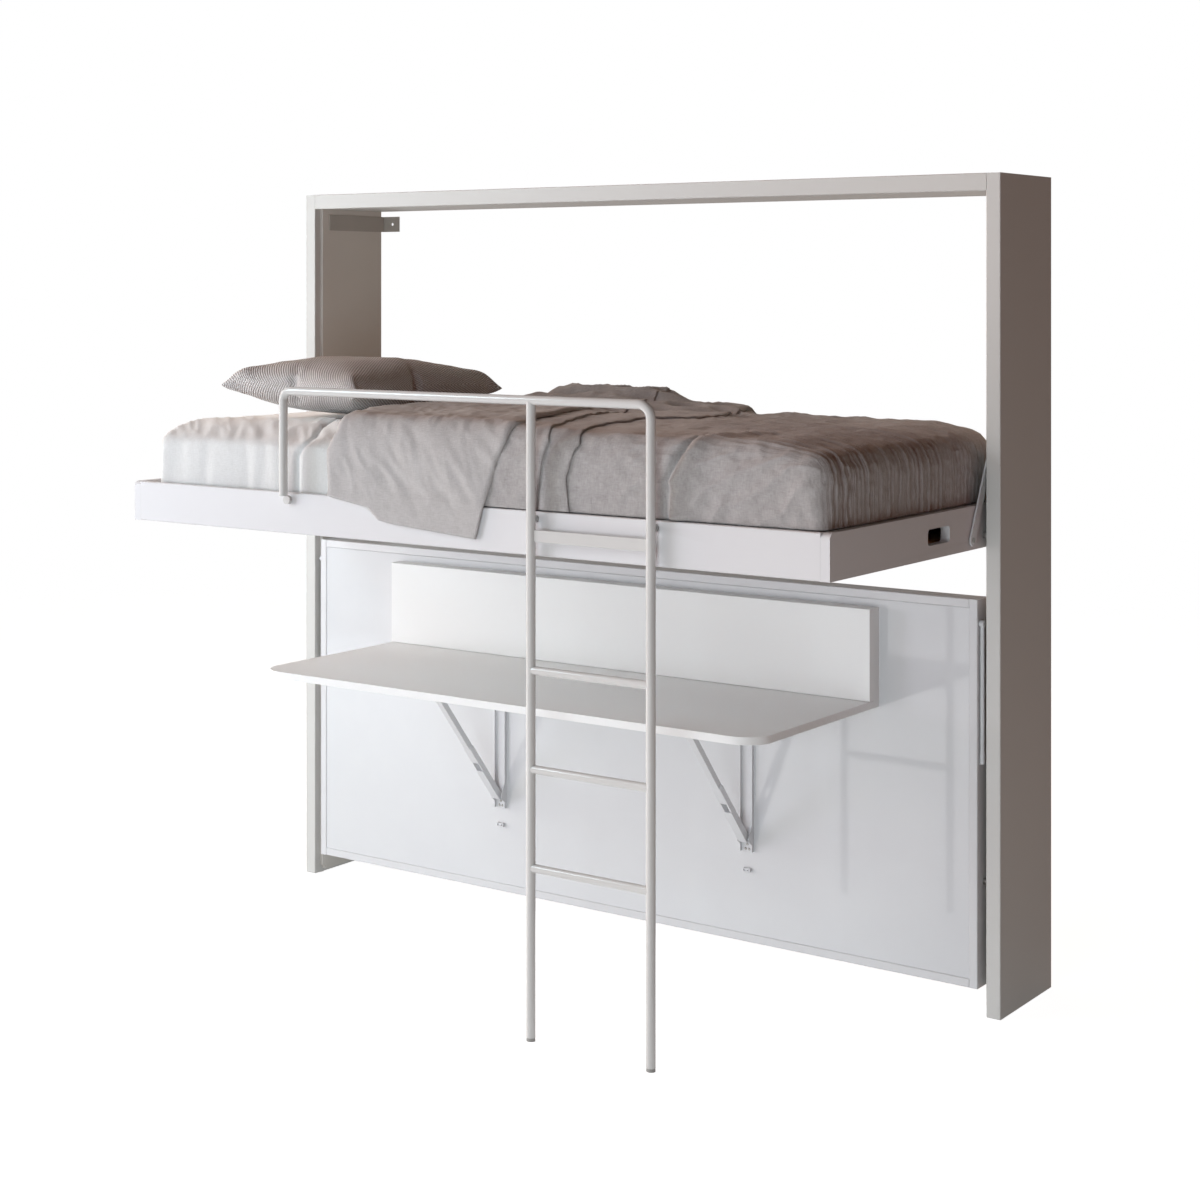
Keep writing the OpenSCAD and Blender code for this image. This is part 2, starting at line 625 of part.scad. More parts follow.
// Hinges under the joint of desk and batten: fixed leaves with the outer knuckles
hinge_out = desk_w / 2 - 95;
hinge_xs = [for (k = [-1, -0.3, 0.3, 1]) desk_x + k * hinge_out];
knuckle_w = 22;
leaf_t = 1.5;
pin_r = 1.5;
module knuckle(k) difference() {
  rod_x((k - 0.5) * knuckle_w + seat, (k + 0.5) * knuckle_w - seat, hinge, knuckle_r);
  rod_x((k - 0.5) * knuckle_w - 1, (k + 0.5) * knuckle_w + 1, hinge, pin_r + fit);
}
module leaf(dir, k) translate([(k - 0.5) * knuckle_w + seat,
    dir > 0 ? hinge[0] + 2.2 : hinge[0] - 26, hinge[1] + knuckle_r - leaf_t])
  cube([knuckle_w - 2 * seat, 23.8, leaf_t - 0.02]);
module desk_hinge_knuckles() color(steel) placed() for (x = hinge_xs) translate([x, 0, 0])
  for (k = [-1, 1]) { knuckle(k); leaf(1, k); }
module desk_hinge_pins() color(steel) placed() for (x = hinge_xs) translate([x, 0, 0]) {
  difference() {
    union() { knuckle(0); leaf(-1, 0); }
    rod_x(-knuckle_w, knuckle_w, hinge, pin_r);
  }
  rod_x(-1.5 * knuckle_w + seat, 1.5 * knuckle_w - seat, hinge, pin_r);
}

// ---- the folding brackets ----

channel_wall = 1.5;
channel_low = strut_foot[1] - 35;
channel_top = hinge[1] - 14;
ear_reach = 24;
flange_reach = 9;
screw_spots = [[0, strut_foot[1] - 17], [-5, strut_foot[1] - 29], [5, strut_foot[1] - 29]];
stub_in = strut_in_w / 2 + seat;
// Wall channel: web on the panel, flanges that deepen into ears at the strut's foot pivot only
module bracket_channel() {
  difference() {
    translate([-bracket_w / 2, -channel_wall, channel_low])
      cube([bracket_w, channel_wall + face_inset, channel_top - channel_low]);
    for (at = screw_spots) translate([at[0], -4, at[1]]) rotate([-90, 0, 0])
      cylinder(r = 2.1, h = 14);
  }
  for (s = [-1, 1]) {
    translate([s > 0 ? bracket_w / 2 - channel_wall : -bracket_w / 2, 0, 0]) rotate([90, 0, 90])
      linear_extrude(channel_wall) polygon([[-channel_wall, channel_low],
        [-flange_reach, channel_low], [-flange_reach, strut_foot[1] - 16],
        [-ear_reach, strut_foot[1] - 6], [-ear_reach, strut_foot[1] + 10],
        [-flange_reach, strut_foot[1] + 34], [-flange_reach, channel_top],
        [-channel_wall, channel_top]]);
    rod_x(s * stub_in, s * (bracket_w / 2 - channel_wall), strut_foot, strut_pin_r);
  }
}
module bracket_channels() color(shade_white) placed() for (x = bracket_xs)
  translate([x, 0, 0]) bracket_channel();
module bracket_screws() color("#6e6d6c") placed() for (x = bracket_xs, at = screw_spots)
  translate([x + at[0], -channel_wall, at[1]]) {
    rotate([90, 0, 0]) cylinder(r1 = 3.6, r2 = 2.4, h = 1.6);
    rotate([-90, 0, 0]) cylinder(r = 2, h = 12);
  }

// Small rest on the panel for the folded strut, with a magnet's recess and a screw's
rest_z = strut_foot[1] - 82;
rest_w = 20;
rest_h = 10;
rest_reach = -strut_foot[0] - strut_web[1] - seat;
module strut_rests() color(frame_white) placed() for (x = bracket_xs) translate([x, 0, rest_z])
  difference() {
    translate([-rest_w / 2, -rest_reach, -rest_h / 2])
      board_x([rest_w, rest_reach + face_inset, rest_h], 1);
    for (hole = [[-rest_w / 4, 3.2], [rest_w / 4, 2]]) translate([hole[0], -rest_reach + 3, 0])
      rotate([90, 0, 0]) cylinder(r = hole[1], h = 4);
  }

// Arm under the desk: a shallow channel with two ears and the pin of the strut's head
arm_end = hinge[0] - strut_out - 46;
arm_depth = 8;
ear_t = 2;
module bracket_arm() {
  under = desk_z - desk_t;
  start = hinge[0] - 30;
  translate([-bracket_w / 2, arm_end, under - ear_t])
    cube([bracket_w, start - arm_end, ear_t]);
  for (s = [-1, 1]) {
    translate([s > 0 ? bracket_w / 2 - ear_t : -bracket_w / 2, arm_end, under - arm_depth])
      cube([ear_t, start - arm_end, arm_depth - ear_t]);
    translate([s > 0 ? strut_in_w / 2 + seat : -strut_in_w / 2 - seat - ear_t, 0, 0])
      rotate([90, 0, 90]) linear_extrude(ear_t) polygon([
        [strut_top[0] - 16, under - ear_t], [strut_top[0] - 7, strut_top[1] - 7],
        [strut_top[0] + 7, strut_top[1] - 7], [strut_top[0] + 16, under - ear_t]]);
  }
  rod_x(-strut_in_w / 2 - seat - ear_t - 1, strut_in_w / 2 + seat + ear_t + 1, strut_top,
    strut_pin_r);
}
module bracket_arms() color(shade_white) placed() for (x = bracket_xs)
  translate([x, 0, 0]) bracket_arm();

// Lower strut: two cheeks from the foot pivot to the elbow, with rivet heads there. A web joins
// them on the side that turns to the panel, and ends where the upper strut swings through.
module lower_strut(x) placed() translate([x, 0, 0]) {
  inner = strut_in_w / 2 + seat;
  turn = atan2(strut_run[1], strut_run[0]);
  for (s = [-1, 1]) {
    x0 = s > 0 ? inner : -inner - strut_cheek;
    difference() {
      union() {
        link_plate(strut_foot, elbow, strut_end_r, strut_end_r, x0, strut_cheek);
        translate([x0, strut_foot[0], strut_foot[1]]) rotate([90, 0, 90]) rotate(turn)
          linear_extrude(strut_cheek) square([web_len, strut_web[1]]);
      }
      rod_x(x0 - 1, x0 + strut_cheek + 1, strut_foot, strut_pin_r + fit);
    }
    rod_x(s * (inner + strut_cheek), s * (inner + strut_cheek + 1.4), elbow, 4.5);
  }
  translate([-inner - 0.1, strut_foot[0], strut_foot[1]]) rotate([90, 0, 90]) rotate(turn)
    linear_extrude(2 * inner + 0.2) translate([0, strut_web[0]])
      square([web_len, strut_web[1] - strut_web[0]]);
}
module left_lower_strut() color(shade_white) lower_strut(bracket_xs[0]);
module right_lower_strut() color(shade_white) lower_strut(bracket_xs[1]);

// Upper strut: a bar between the cheeks, from a tail below the elbow up to the desk arm's pin
module upper_strut(x) placed() translate([x, 0, 0]) difference() {
  link_plate(elbow - strut_run * strut_tail / strut_len, strut_top, strut_end_r, strut_end_r,
    -strut_in_w / 2, strut_in_w);
  rod_x(-strut_in_w, strut_in_w, strut_top, strut_pin_r + fit);
  rod_x(-strut_in_w, strut_in_w, elbow, strut_pin_r + fit);
}
module left_upper_strut() color(shade_white) upper_strut(bracket_xs[0]);
module right_upper_strut() color(shade_white) upper_strut(bracket_xs[1]);

// ---- guard rail and ladder ----

guard_low = upper_top - 18;
foot_bend = tube_r + 0.5;
cap_h = 12;
// One bent tube: left leg, top rail and the right post down to the floor
module guard_tube() color("#e4e3e1") placed() translate([0, tube_y, 0]) {
  bend = guard_bend - tube_r;
  small = 24;
  leg_top = guard_z - small;
  knee = guard_low + foot_bend;
  translate([guard_left_x, 0, knee]) cylinder(r = tube_r, h = leg_top - knee);
  translate([guard_left_x, foot_bend, knee]) rotate([90, 0, -90])
    rotate_extrude(angle = 90) translate([foot_bend, 0]) circle(r = tube_r);
  translate([guard_left_x, foot_bend, guard_low]) rotate([-90, 0, 0])
    cylinder(r = tube_r, h = tube_off - seat - foot_bend);
  translate([guard_left_x + small, 0, leg_top]) rotate([90, -90, 0])
    rotate_extrude(angle = 90) translate([small, 0]) circle(r = tube_r);
  rod_x(guard_left_x + small, post_right_x - bend, [0, guard_z], tube_r);
  translate([post_right_x - bend, 0, guard_z - bend]) rotate([90, 0, 0])
    rotate_extrude(angle = 90) translate([bend, 0]) circle(r = tube_r);
  translate([post_right_x, 0, cap_h - 4]) cylinder(r = tube_r, h = guard_z - bend - cap_h + 4);
}
module ladder_left_post() color("#e4e3e1") placed()
  difference() {
    translate([post_left_x, tube_y, cap_h - 4]) cylinder(r = tube_r, h = guard_z - cap_h + 4);
    rod_x(post_left_x - tube_d, post_left_x + tube_d, [tube_y, guard_z], tube_r + 0.1);
    translate([post_left_x - tube_d, tube_y - tube_d, guard_z]) cube(2 * tube_d);
  }
// Rungs coped to the posts
module between_posts() difference() {
  children();
  for (x = [post_left_x, post_right_x]) translate([x, tube_y, 0])
    cylinder(r = tube_r + 0.1, h = guard_z);
}
module ladder_rungs() color("#e4e3e1") placed() for (k = [0 : 2]) between_posts()
  rod_x(post_left_x + 4, post_right_x - 4, [tube_y, rung_low + k * rung_pitch], rung_d / 2);
bar_h = 28;
bar_z = upper_under + 35;
module ladder_crossbar() color("#e4e3e1") placed() between_posts()
  translate([post_left_x + 4, tube_y - 3, bar_z]) board_x([post_pitch - 8, 6, bar_h], 1);
module ladder_foot_caps() color(nylon) placed() for (x = [post_left_x, post_right_x])
  translate([x, tube_y, 0]) difference() {
    cylinder(r = tube_r - 0.5, h = cap_h);
    translate([0, 0, cap_h - 4]) cylinder(r = tube_r + 2, h = cap_h);
  }

left_side_board();
right_side_board();
top_board();
left_liner();
right_liner();
wall_plates();
rear_tie_rail();
floor_glides();
pivot_bushes();
stay_guides();
bed_stops();
upper_front_rail();
upper_rear_rail();
upper_left_end();
upper_right_end();
upper_face_panel();
upper_slats();
upper_pivot_pins();
upper_stay_pins();
ladder_clips();
upper_mattress();
upper_pillow();
upper_duvet();
left_stay_arm();
right_stay_arm();
lower_top_rail();
lower_bottom_rail();
lower_left_end();
lower_right_end();
lower_face_panel();
lower_slats();
lower_mattress();
lower_pivot_pins();
leg_pivots();
left_leg();
right_leg();
desk_batten();
desk_upstand();
desk_hinge_knuckles();
bracket_channels();
bracket_screws();
strut_rests();
desk_top();
desk_hinge_pins();
bracket_arms();
left_lower_strut();
right_lower_strut();
left_upper_strut();
right_upper_strut();
guard_tube();
ladder_left_post();
ladder_rungs();
ladder_crossbar();
ladder_foot_caps();
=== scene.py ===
import math
import bpy
import numpy as np
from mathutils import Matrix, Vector, noise


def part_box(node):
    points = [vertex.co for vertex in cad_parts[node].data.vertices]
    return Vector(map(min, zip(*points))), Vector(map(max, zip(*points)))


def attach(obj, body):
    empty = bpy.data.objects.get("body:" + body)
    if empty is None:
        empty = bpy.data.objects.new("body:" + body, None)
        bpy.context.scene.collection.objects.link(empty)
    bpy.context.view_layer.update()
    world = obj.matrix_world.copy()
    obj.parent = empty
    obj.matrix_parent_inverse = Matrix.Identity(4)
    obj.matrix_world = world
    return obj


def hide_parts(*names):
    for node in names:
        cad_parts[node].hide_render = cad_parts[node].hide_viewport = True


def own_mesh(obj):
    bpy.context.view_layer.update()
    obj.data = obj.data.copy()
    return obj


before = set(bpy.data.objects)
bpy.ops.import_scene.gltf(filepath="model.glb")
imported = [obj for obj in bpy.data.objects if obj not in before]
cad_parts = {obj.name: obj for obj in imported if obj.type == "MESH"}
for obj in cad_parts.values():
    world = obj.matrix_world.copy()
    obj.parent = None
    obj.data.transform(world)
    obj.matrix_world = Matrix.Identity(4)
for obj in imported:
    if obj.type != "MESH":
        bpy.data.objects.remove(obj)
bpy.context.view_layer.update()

# ---- studio ----
# A pale floor that fades out into a white room, soft boxes in front of the bed and to its left, and
# a camera at eye height to the right, where the photograph was taken from.


def linear(hex_code):
    """sRGB hex to the linear values that Blender works in."""
    parts = [int(hex_code[i:i + 2], 16) / 255 for i in (1, 3, 5)]
    return tuple(c / 12.92 if c <= 0.04045 else ((c + 0.055) / 1.055) ** 2.4 for c in parts)


def add(tree, kind, inputs=None, **settings):
    """Add one node, set its own settings, and fill or link its inputs by name or number."""
    node = tree.nodes.new(kind)
    for name, value in settings.items():
        setattr(node, name, value)
    for name, value in (inputs or {}).items():
        if isinstance(value, bpy.types.NodeSocket):
            tree.links.new(value, node.inputs[name])
        elif isinstance(value, str):
            node.inputs[name].default_value = (*linear(value), 1)
        else:
            node.inputs[name].default_value = value
    return node


def blank_material(name):
    """A new material with an empty tree, its place coordinates and its output."""
    material = bpy.data.materials.new(name)
    material.use_nodes = True
    tree = material.node_tree
    tree.nodes.clear()
    place = add(tree, "ShaderNodeTexCoord").outputs["Object"]
    return material, tree, place, add(tree, "ShaderNodeOutputMaterial")


floor_half = 14
studio = bpy.data.objects.new("floor", bpy.data.meshes.new("floor"))
studio.data.from_pydata([(x * floor_half, y * floor_half, 0) for x, y in (
    (-1, -1), (1, -1), (1, 1), (-1, 1))], [], [(0, 1, 2, 3)])
bpy.context.scene.collection.objects.link(studio)
pale_floor, tree, place, out = blank_material("pale_floor_paint")
far = add(tree, "ShaderNodeVectorMath", {0: place}, operation="LENGTH").outputs["Value"]
fade = add(tree, "ShaderNodeMapRange", {"Value": far, "From Min": 2.4, "From Max": 7.5},
           interpolation_type="SMOOTHSTEP").outputs["Result"]
rightward = add(tree, "ShaderNodeSeparateXYZ", {0: place}).outputs["X"]
# in reflections the floor is darker to the right, and the light that it throws up is cool
shine = add(tree, "ShaderNodeMapRange", {"Value": rightward, "From Min": 0.3, "From Max": 1.3,
                                         "To Min": 0.93, "To Max": 0.12}).outputs["Result"]
bounce = add(tree, "ShaderNodeMapRange", {"Value": rightward, "From Min": -0.4, "From Max": 1.2,
                                          "To Min": 0.21, "To Max": 0.24}).outputs["Result"]
path = add(tree, "ShaderNodeLightPath")
thrown, shown, seen = [
    add(tree, "ShaderNodeEmission", {"Color": colour, "Strength": strength}).outputs[0]
    for colour, strength in (("#f2fdff", bounce), ("#ffffff", shine), ("#ffffff", 0.93))]
glow = add(tree, "ShaderNodeMixShader", {
    0: path.outputs["Is Glossy Ray"], 1: thrown, 2: shown}).outputs[0]
glow = add(tree, "ShaderNodeMixShader", {
    0: path.outputs["Is Camera Ray"], 1: glow, 2: seen}).outputs[0]
paint = add(tree, "ShaderNodeAddShader", {
    0: add(tree, "ShaderNodeBsdfDiffuse", {"Color": "#b4b4b4"}).outputs[0], 1: glow}).outputs[0]
clear = add(tree, "ShaderNodeBsdfTransparent").outputs[0]
tree.links.new(add(tree, "ShaderNodeMixShader", {0: fade, 1: paint, 2: clear}).outputs[0],
               out.inputs["Surface"])
studio.data.materials.append(pale_floor)

# the room: warm walls to the left, dimmer ones behind and to the right, and white to the camera
world = bpy.data.worlds.new("white_room")
bpy.context.scene.world = world
world.use_nodes = True
tree = world.node_tree
tree.nodes.clear()
direction = add(tree, "ShaderNodeTexCoord").outputs["Generated"]
walls = None
for axis, colour, strength in (((-1, 0, 0), "#ffb793", 1.97), ((0, 1, 0), "#e0ffe3", 0.36),
                               ((1, 0, 0), "#ff6800", 0.17)):
    toward = add(tree, "ShaderNodeVectorMath", {0: direction, 1: axis},
                 operation="DOT_PRODUCT").outputs["Value"]
    toward = add(tree, "ShaderNodeMath", {0: toward, 1: 0.0}, operation="MAXIMUM").outputs[0]
    toward = add(tree, "ShaderNodeMath", {0: toward, 1: 2.0}, operation="POWER").outputs[0]
    level = add(tree, "ShaderNodeMath", {0: toward, 1: strength}, operation="MULTIPLY").outputs[0]
    wall = add(tree, "ShaderNodeBackground", {"Color": colour, "Strength": level}).outputs[0]
    walls = wall if walls is None else add(tree, "ShaderNodeAddShader", {
        0: walls, 1: wall}).outputs[0]
seen = add(tree, "ShaderNodeBackground", {"Color": "#ffffff", "Strength": 1.0}).outputs[0]
toward = add(tree, "ShaderNodeVectorMath", {0: direction, 1: (-0.74, -0.66, 0)},
             operation="DOT_PRODUCT").outputs["Value"]
level = add(tree, "ShaderNodeMapRange", {"Value": toward, "From Min": -0.4, "From Max": 0.5,
                                         "To Min": 0.12, "To Max": 1.0}).outputs["Result"]
mirrored = add(tree, "ShaderNodeBackground", {"Color": "#ffffff", "Strength": level}).outputs[0]
path = add(tree, "ShaderNodeLightPath")
walls = add(tree, "ShaderNodeMixShader", {0: path.outputs["Is Glossy Ray"], 1: walls,
                                          2: mirrored}).outputs[0]
tree.links.new(add(tree, "ShaderNodeMixShader", {0: path.outputs["Is Camera Ray"], 1: walls,
                                                 2: seen}).outputs[0],
               add(tree, "ShaderNodeOutputWorld").inputs["Surface"])
bpy.context.scene.view_settings.view_transform = "Standard"

# soft boxes: name, place, width, height, power, colour; only the high one shows as highlights
middle_of_bed = Vector((0, 0, 1.1))
for name, place_at, width, height, power, colour in (
        ("box_left_front", (-4.0, -3.0, 1.2), 1.6, 2.0, 84, (0.78, 0.85, 1.0)),
        ("box_left", (-4.5, -1.0, 1.5), 1.6, 2.0, 102, (0.84, 1.0, 0.93)),
        ("box_high", (-2.5, -3.0, 3.0), 1.4, 1.4, 55, (0.75, 0.93, 1.0)),
        ("box_right_front", (1.5, -5.5, 1.0), 2.0, 1.6, 112, (0.86, 0.96, 1.0)),
        ("box_low_right", (1.5, -1.9, 0.25), 1.4, 0.4, 3.2, (0.95, 0.98, 1.0))):
    light = bpy.data.lights.new(name, "AREA")
    light.shape = "RECTANGLE"
    light.size, light.size_y, light.energy = width, height, power
    light.color = colour
    lamp = bpy.data.objects.new(name, light)
    lamp.location = place_at
    lamp.rotation_euler = (middle_of_bed - Vector(place_at)).to_track_quat("-Z", "Y").to_euler()
    lamp.visible_glossy = name == "box_high"
    bpy.context.scene.collection.objects.link(lamp)

camera = bpy.data.cameras.new("camera")
camera.sensor_width = 36
camera.lens = 66.39
camera.shift_x, camera.shift_y = 0.2, -0.2618
viewer = bpy.data.objects.new("camera", camera)
viewer.location = (3.1419, -4.7958, 1.7411)
viewer.rotation_euler = (math.radians(90), 0, math.radians(38.48))
bpy.context.scene.collection.objects.link(viewer)
bpy.context.scene.camera = viewer

# ---- boards ----
# Melamine-faced chipboard, cut square, edged with a thin band and matt lacquered a warm grey-white.
# The finish is smooth and almost flat, with a very faint orange peel, and a painted highlight makes
# its edges a little paler than its faces.


def dress(names, material):
    """Give CAD nodes a finish, through their own material slots."""
    for node in names:
        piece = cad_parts[node]
        if not piece.material_slots:
            piece.data.materials.append(material)
        for slot in piece.material_slots:
            slot.material = material


def lacquered_board(name, face, edge_highlight, dulled):
    """Matt lacquer on board: cloudy by a shade, peel of 1.2 mm, and its edges paler by a painted
    highlight.
    """
    material, tree, place, out = blank_material(name)
    cloud = add(tree, "ShaderNodeTexNoise", {"Vector": place, "Scale": 2.2, "Detail": 3})
    tone = add(tree, "ShaderNodeMix", {"Factor": cloud.outputs["Fac"], "A": face, "B": dulled},
               data_type="RGBA").outputs["Result"]
    # painted highlight: sharp edges are mixed towards a paler colour, as if lit along them
    edge = add(tree, "ShaderNodeMapRange", {"Value": add(tree, "ShaderNodeNewGeometry").outputs[
        "Pointiness"], "From Min": 0.5, "From Max": 0.56, "To Max": 0.6}).outputs["Result"]
    tone = add(tree, "ShaderNodeMix", {"Factor": edge, "A": tone, "B": edge_highlight},
               data_type="RGBA").outputs["Result"]
    peel = add(tree, "ShaderNodeTexNoise", {"Vector": place, "Scale": 1 / 0.0012, "Detail": 1})
    bump = add(tree, "ShaderNodeBump", {"Height": peel.outputs["Fac"], "Strength": 0.05,
                                        "Distance": 0.0002}).outputs["Normal"]
    finish = add(tree, "ShaderNodeBsdfPrincipled", {
        "Base Color": tone, "Roughness": 0.42, "IOR": 1.5, "Specular IOR Level": 0.4,
        "Normal": bump})
    tree.links.new(finish.outputs[0], out.inputs["Surface"])
    return material


frame_lacquer = lacquered_board("matt_lacquer_frame", "#c5c3c0", "#cfcdca", "#c2bfbc")
dress(["left_side_board", "right_side_board", "top_board"], frame_lacquer)
# painted light: the liners stand in shade, and their lighter, warmer copy of the lacquer stands in
# for the light bounced onto them
liner_lacquer_lit = lacquered_board("matt_lacquer_liner_lit", "#cec8c1", "#d9d3cd", "#c8c1ba")
dress(["left_liner", "right_liner"], liner_lacquer_lit)
bed_lacquer = lacquered_board("matt_lacquer_bed", "#cfcecf", "#d8d7d9", "#cbc9ca")
dress(["upper_front_rail", "upper_rear_rail", "upper_left_end", "upper_right_end",
       "lower_top_rail", "lower_bottom_rail", "lower_left_end", "lower_right_end"], bed_lacquer)

# ---- glossy panels ----
# The undersides of both beds, which are the unit's front when they are up: acrylic-faced board,
# polished, so that it mirrors the windows, the desk and its struts with a soft waver.


def gloss_acrylic(name, face):
    """Polished acrylic over white: a sharp clear coat with a slow waver of 90 mm."""
    material, tree, place, out = blank_material(name)
    slow = add(tree, "ShaderNodeTexNoise", {"Vector": place, "Scale": 1 / 0.09, "Detail": 2})
    cloud = add(tree, "ShaderNodeMix", {"Factor": slow.outputs["Fac"], "A": face, "B": "#cdcdd0"},
                data_type="RGBA").outputs["Result"]
    bump = add(tree, "ShaderNodeBump", {"Height": slow.outputs["Fac"], "Strength": 0.05,
                                        "Distance": 0.002}).outputs["Normal"]
    finish = add(tree, "ShaderNodeBsdfPrincipled", {
        "Base Color": cloud, "Roughness": 0.12, "IOR": 1.49, "Coat Weight": 1.0,
        "Coat Roughness": 0.03, "Coat IOR": 1.6, "Normal": bump, "Coat Normal": bump})
    tree.links.new(finish.outputs[0], out.inputs["Surface"])
    return material


dress(["lower_face_panel", "upper_face_panel"], gloss_acrylic("polished_acrylic_panel", "#d1d1d3"))

# ---- desk ----
# Desk top, its upstand and the batten behind it: matt laminate on board, cooler than the frame.
# Its edges carry a painted highlight, a brighter line along the front.

desk_laminate = lacquered_board("matt_laminate_desk", "#e2e2e2", "#efefee", "#dddddd")
dress(["desk_top", "desk_upstand", "desk_batten"], desk_laminate)

# ---- guard rail, ladder and bent steel ----
# Round steel tube and folded sheet, powder coated satin white, and the wall plates a darker
# grey-brown, which is painted shade. The coat has a fine pebble that softens every highlight, and
# is cloudy with wear.


def powder_coat(name, face, dull, roughness):
    """Powder coat: pebble of 0.8 mm, drawn as coarse as it needs to show, and slow cloudy wear."""
    material, tree, place, out = blank_material(name)
    pebble = add(tree, "ShaderNodeTexNoise", {"Vector": place, "Scale": 1 / 0.0016, "Detail": 2})
    wear = add(tree, "ShaderNodeTexNoise", {"Vector": place, "Scale": 7, "Detail": 5})
    tone = add(tree, "ShaderNodeMix", {"Factor": wear.outputs["Fac"], "A": face, "B": dull},
               data_type="RGBA").outputs["Result"]
    bump = add(tree, "ShaderNodeBump", {"Height": pebble.outputs["Fac"], "Strength": 0.12,
                                        "Distance": 0.0003}).outputs["Normal"]
    finish = add(tree, "ShaderNodeBsdfPrincipled", {
        "Base Color": tone, "Roughness": roughness, "IOR": 1.5, "Coat Weight": 0.8,
        "Coat Roughness": 0.09, "Normal": bump})
    tree.links.new(finish.outputs[0], out.inputs["Surface"])
    return material


dress(["guard_tube", "ladder_left_post", "ladder_rungs", "ladder_crossbar"],
      powder_coat("powder_coat_tube", "#cac8c6", "#c1bfbd", 0.17))
dress(["left_stay_arm", "right_stay_arm", "left_leg", "right_leg", "rear_tie_rail",
       "bracket_channels", "bracket_arms", "left_lower_strut", "right_lower_strut",
       "left_upper_strut", "right_upper_strut"],
      powder_coat("powder_coat_sheet", "#d6d6d8", "#cccccf", 0.36))
# painted shade: the wall plates get a darker, browner copy of the white coat, for the shade they
# stand in
dress(["wall_plates"], powder_coat("powder_coat_plates_shaded", "#b5aea7", "#a9a29b", 0.42))

# ---- zinc-plated fittings ----
# Pins, hinge knuckles, screws, guides and the angle plates under the top board: steel, zinc plated
# and brushed, so that they stay brighter along the brush lines.

zinc_plate, tree, place, out = blank_material("zinc_plated_steel")
brush = add(tree, "ShaderNodeTexNoise", {
    "Vector": add(tree, "ShaderNodeMapping", {"Vector": place, "Scale": (40, 900, 900)}).outputs[0],
    "Scale": 1.0, "Detail": 3})
tone = add(tree, "ShaderNodeMix", {"Factor": brush.outputs["Fac"], "A": "#b9b8b6", "B": "#9c9a97"},
           data_type="RGBA").outputs["Result"]
bump = add(tree, "ShaderNodeBump", {"Height": brush.outputs["Fac"], "Strength": 0.1,
                                    "Distance": 0.0002}).outputs["Normal"]
finish = add(tree, "ShaderNodeBsdfPrincipled", {"Base Color": tone, "Metallic": 1.0,
                                                "Roughness": 0.32, "Normal": bump})
tree.links.new(finish.outputs[0], out.inputs["Surface"])
dress(["upper_pivot_pins", "upper_stay_pins", "lower_pivot_pins", "leg_pivots",
       "desk_hinge_knuckles", "desk_hinge_pins", "stay_guides", "ladder_clips",
       "bracket_screws"], zinc_plate)

# ---- moulded nylon ----
# Glides, bushes, stops and the ladder's foot caps: nylon 6, injection moulded in grey with a fine
# spark-eroded texture. The strut rests are of the same nylon in white.


def nylon(name, light, dark):
    """Moulded nylon with a spark-eroded grain of 1.5 mm."""
    material, tree, place, out = blank_material(name)
    grain = add(tree, "ShaderNodeTexVoronoi", {"Vector": place, "Scale": 1 / 0.0015})
    tone = add(tree, "ShaderNodeMix", {"Factor": grain.outputs["Distance"], "A": dark, "B": light},
               data_type="RGBA").outputs["Result"]
    bump = add(tree, "ShaderNodeBump", {"Height": grain.outputs["Distance"], "Strength": 0.2,
                                        "Distance": 0.0002}).outputs["Normal"]
    finish = add(tree, "ShaderNodeBsdfPrincipled", {"Base Color": tone, "Roughness": 0.55,
                                                    "IOR": 1.53, "Normal": bump})
    tree.links.new(finish.outputs[0], out.inputs["Surface"])
    return material


dress(["floor_glides", "pivot_bushes", "bed_stops", "ladder_foot_caps"],
      nylon("moulded_nylon_grey", "#9a9895", "#8d8b88"))
dress(["strut_rests"], nylon("moulded_nylon_white", "#d6d6d8", "#cacacc"))

# ---- slats ----
# Sprung slats and their bearers, glued birch with a clear matt lacquer. The grain runs along each
# slat, in streaks of 3 mm.

birch, tree, place, out = blank_material("lacquered_birch")
grain = add(tree, "ShaderNodeTexNoise", {
    "Vector": add(tree, "ShaderNodeMapping", {"Vector": place, "Scale": (330, 18, 18)}).outputs[0],
    "Scale": 1.0, "Detail": 5, "Distortion": 0.4})
tone = add(tree, "ShaderNodeValToRGB", {"Fac": grain.outputs["Fac"]})
tone.color_ramp.elements[0].position, tone.color_ramp.elements[1].position = 0.3, 0.72
tone.color_ramp.elements[0].color = (*linear("#c2a377"), 1)
tone.color_ramp.elements[1].color = (*linear("#e0cba6"), 1)
bump = add(tree, "ShaderNodeBump", {"Height": grain.outputs["Fac"], "Strength": 0.15,
                                    "Distance": 0.0004}).outputs["Normal"]
finish = add(tree, "ShaderNodeBsdfPrincipled", {"Base Color": tone.outputs[0], "Roughness": 0.45,
                                                "Normal": bump})
tree.links.new(finish.outputs[0], out.inputs["Surface"])
dress(["upper_slats", "lower_slats"], birch)

# ---- mattresses in their fitted sheets ----
# Foam blocks with crowned tops, in plain woven cotton sheets drawn down round them. The sheets are
# slack, so they fall in soft creases, and a second one is tucked in from the upper pillow's end.


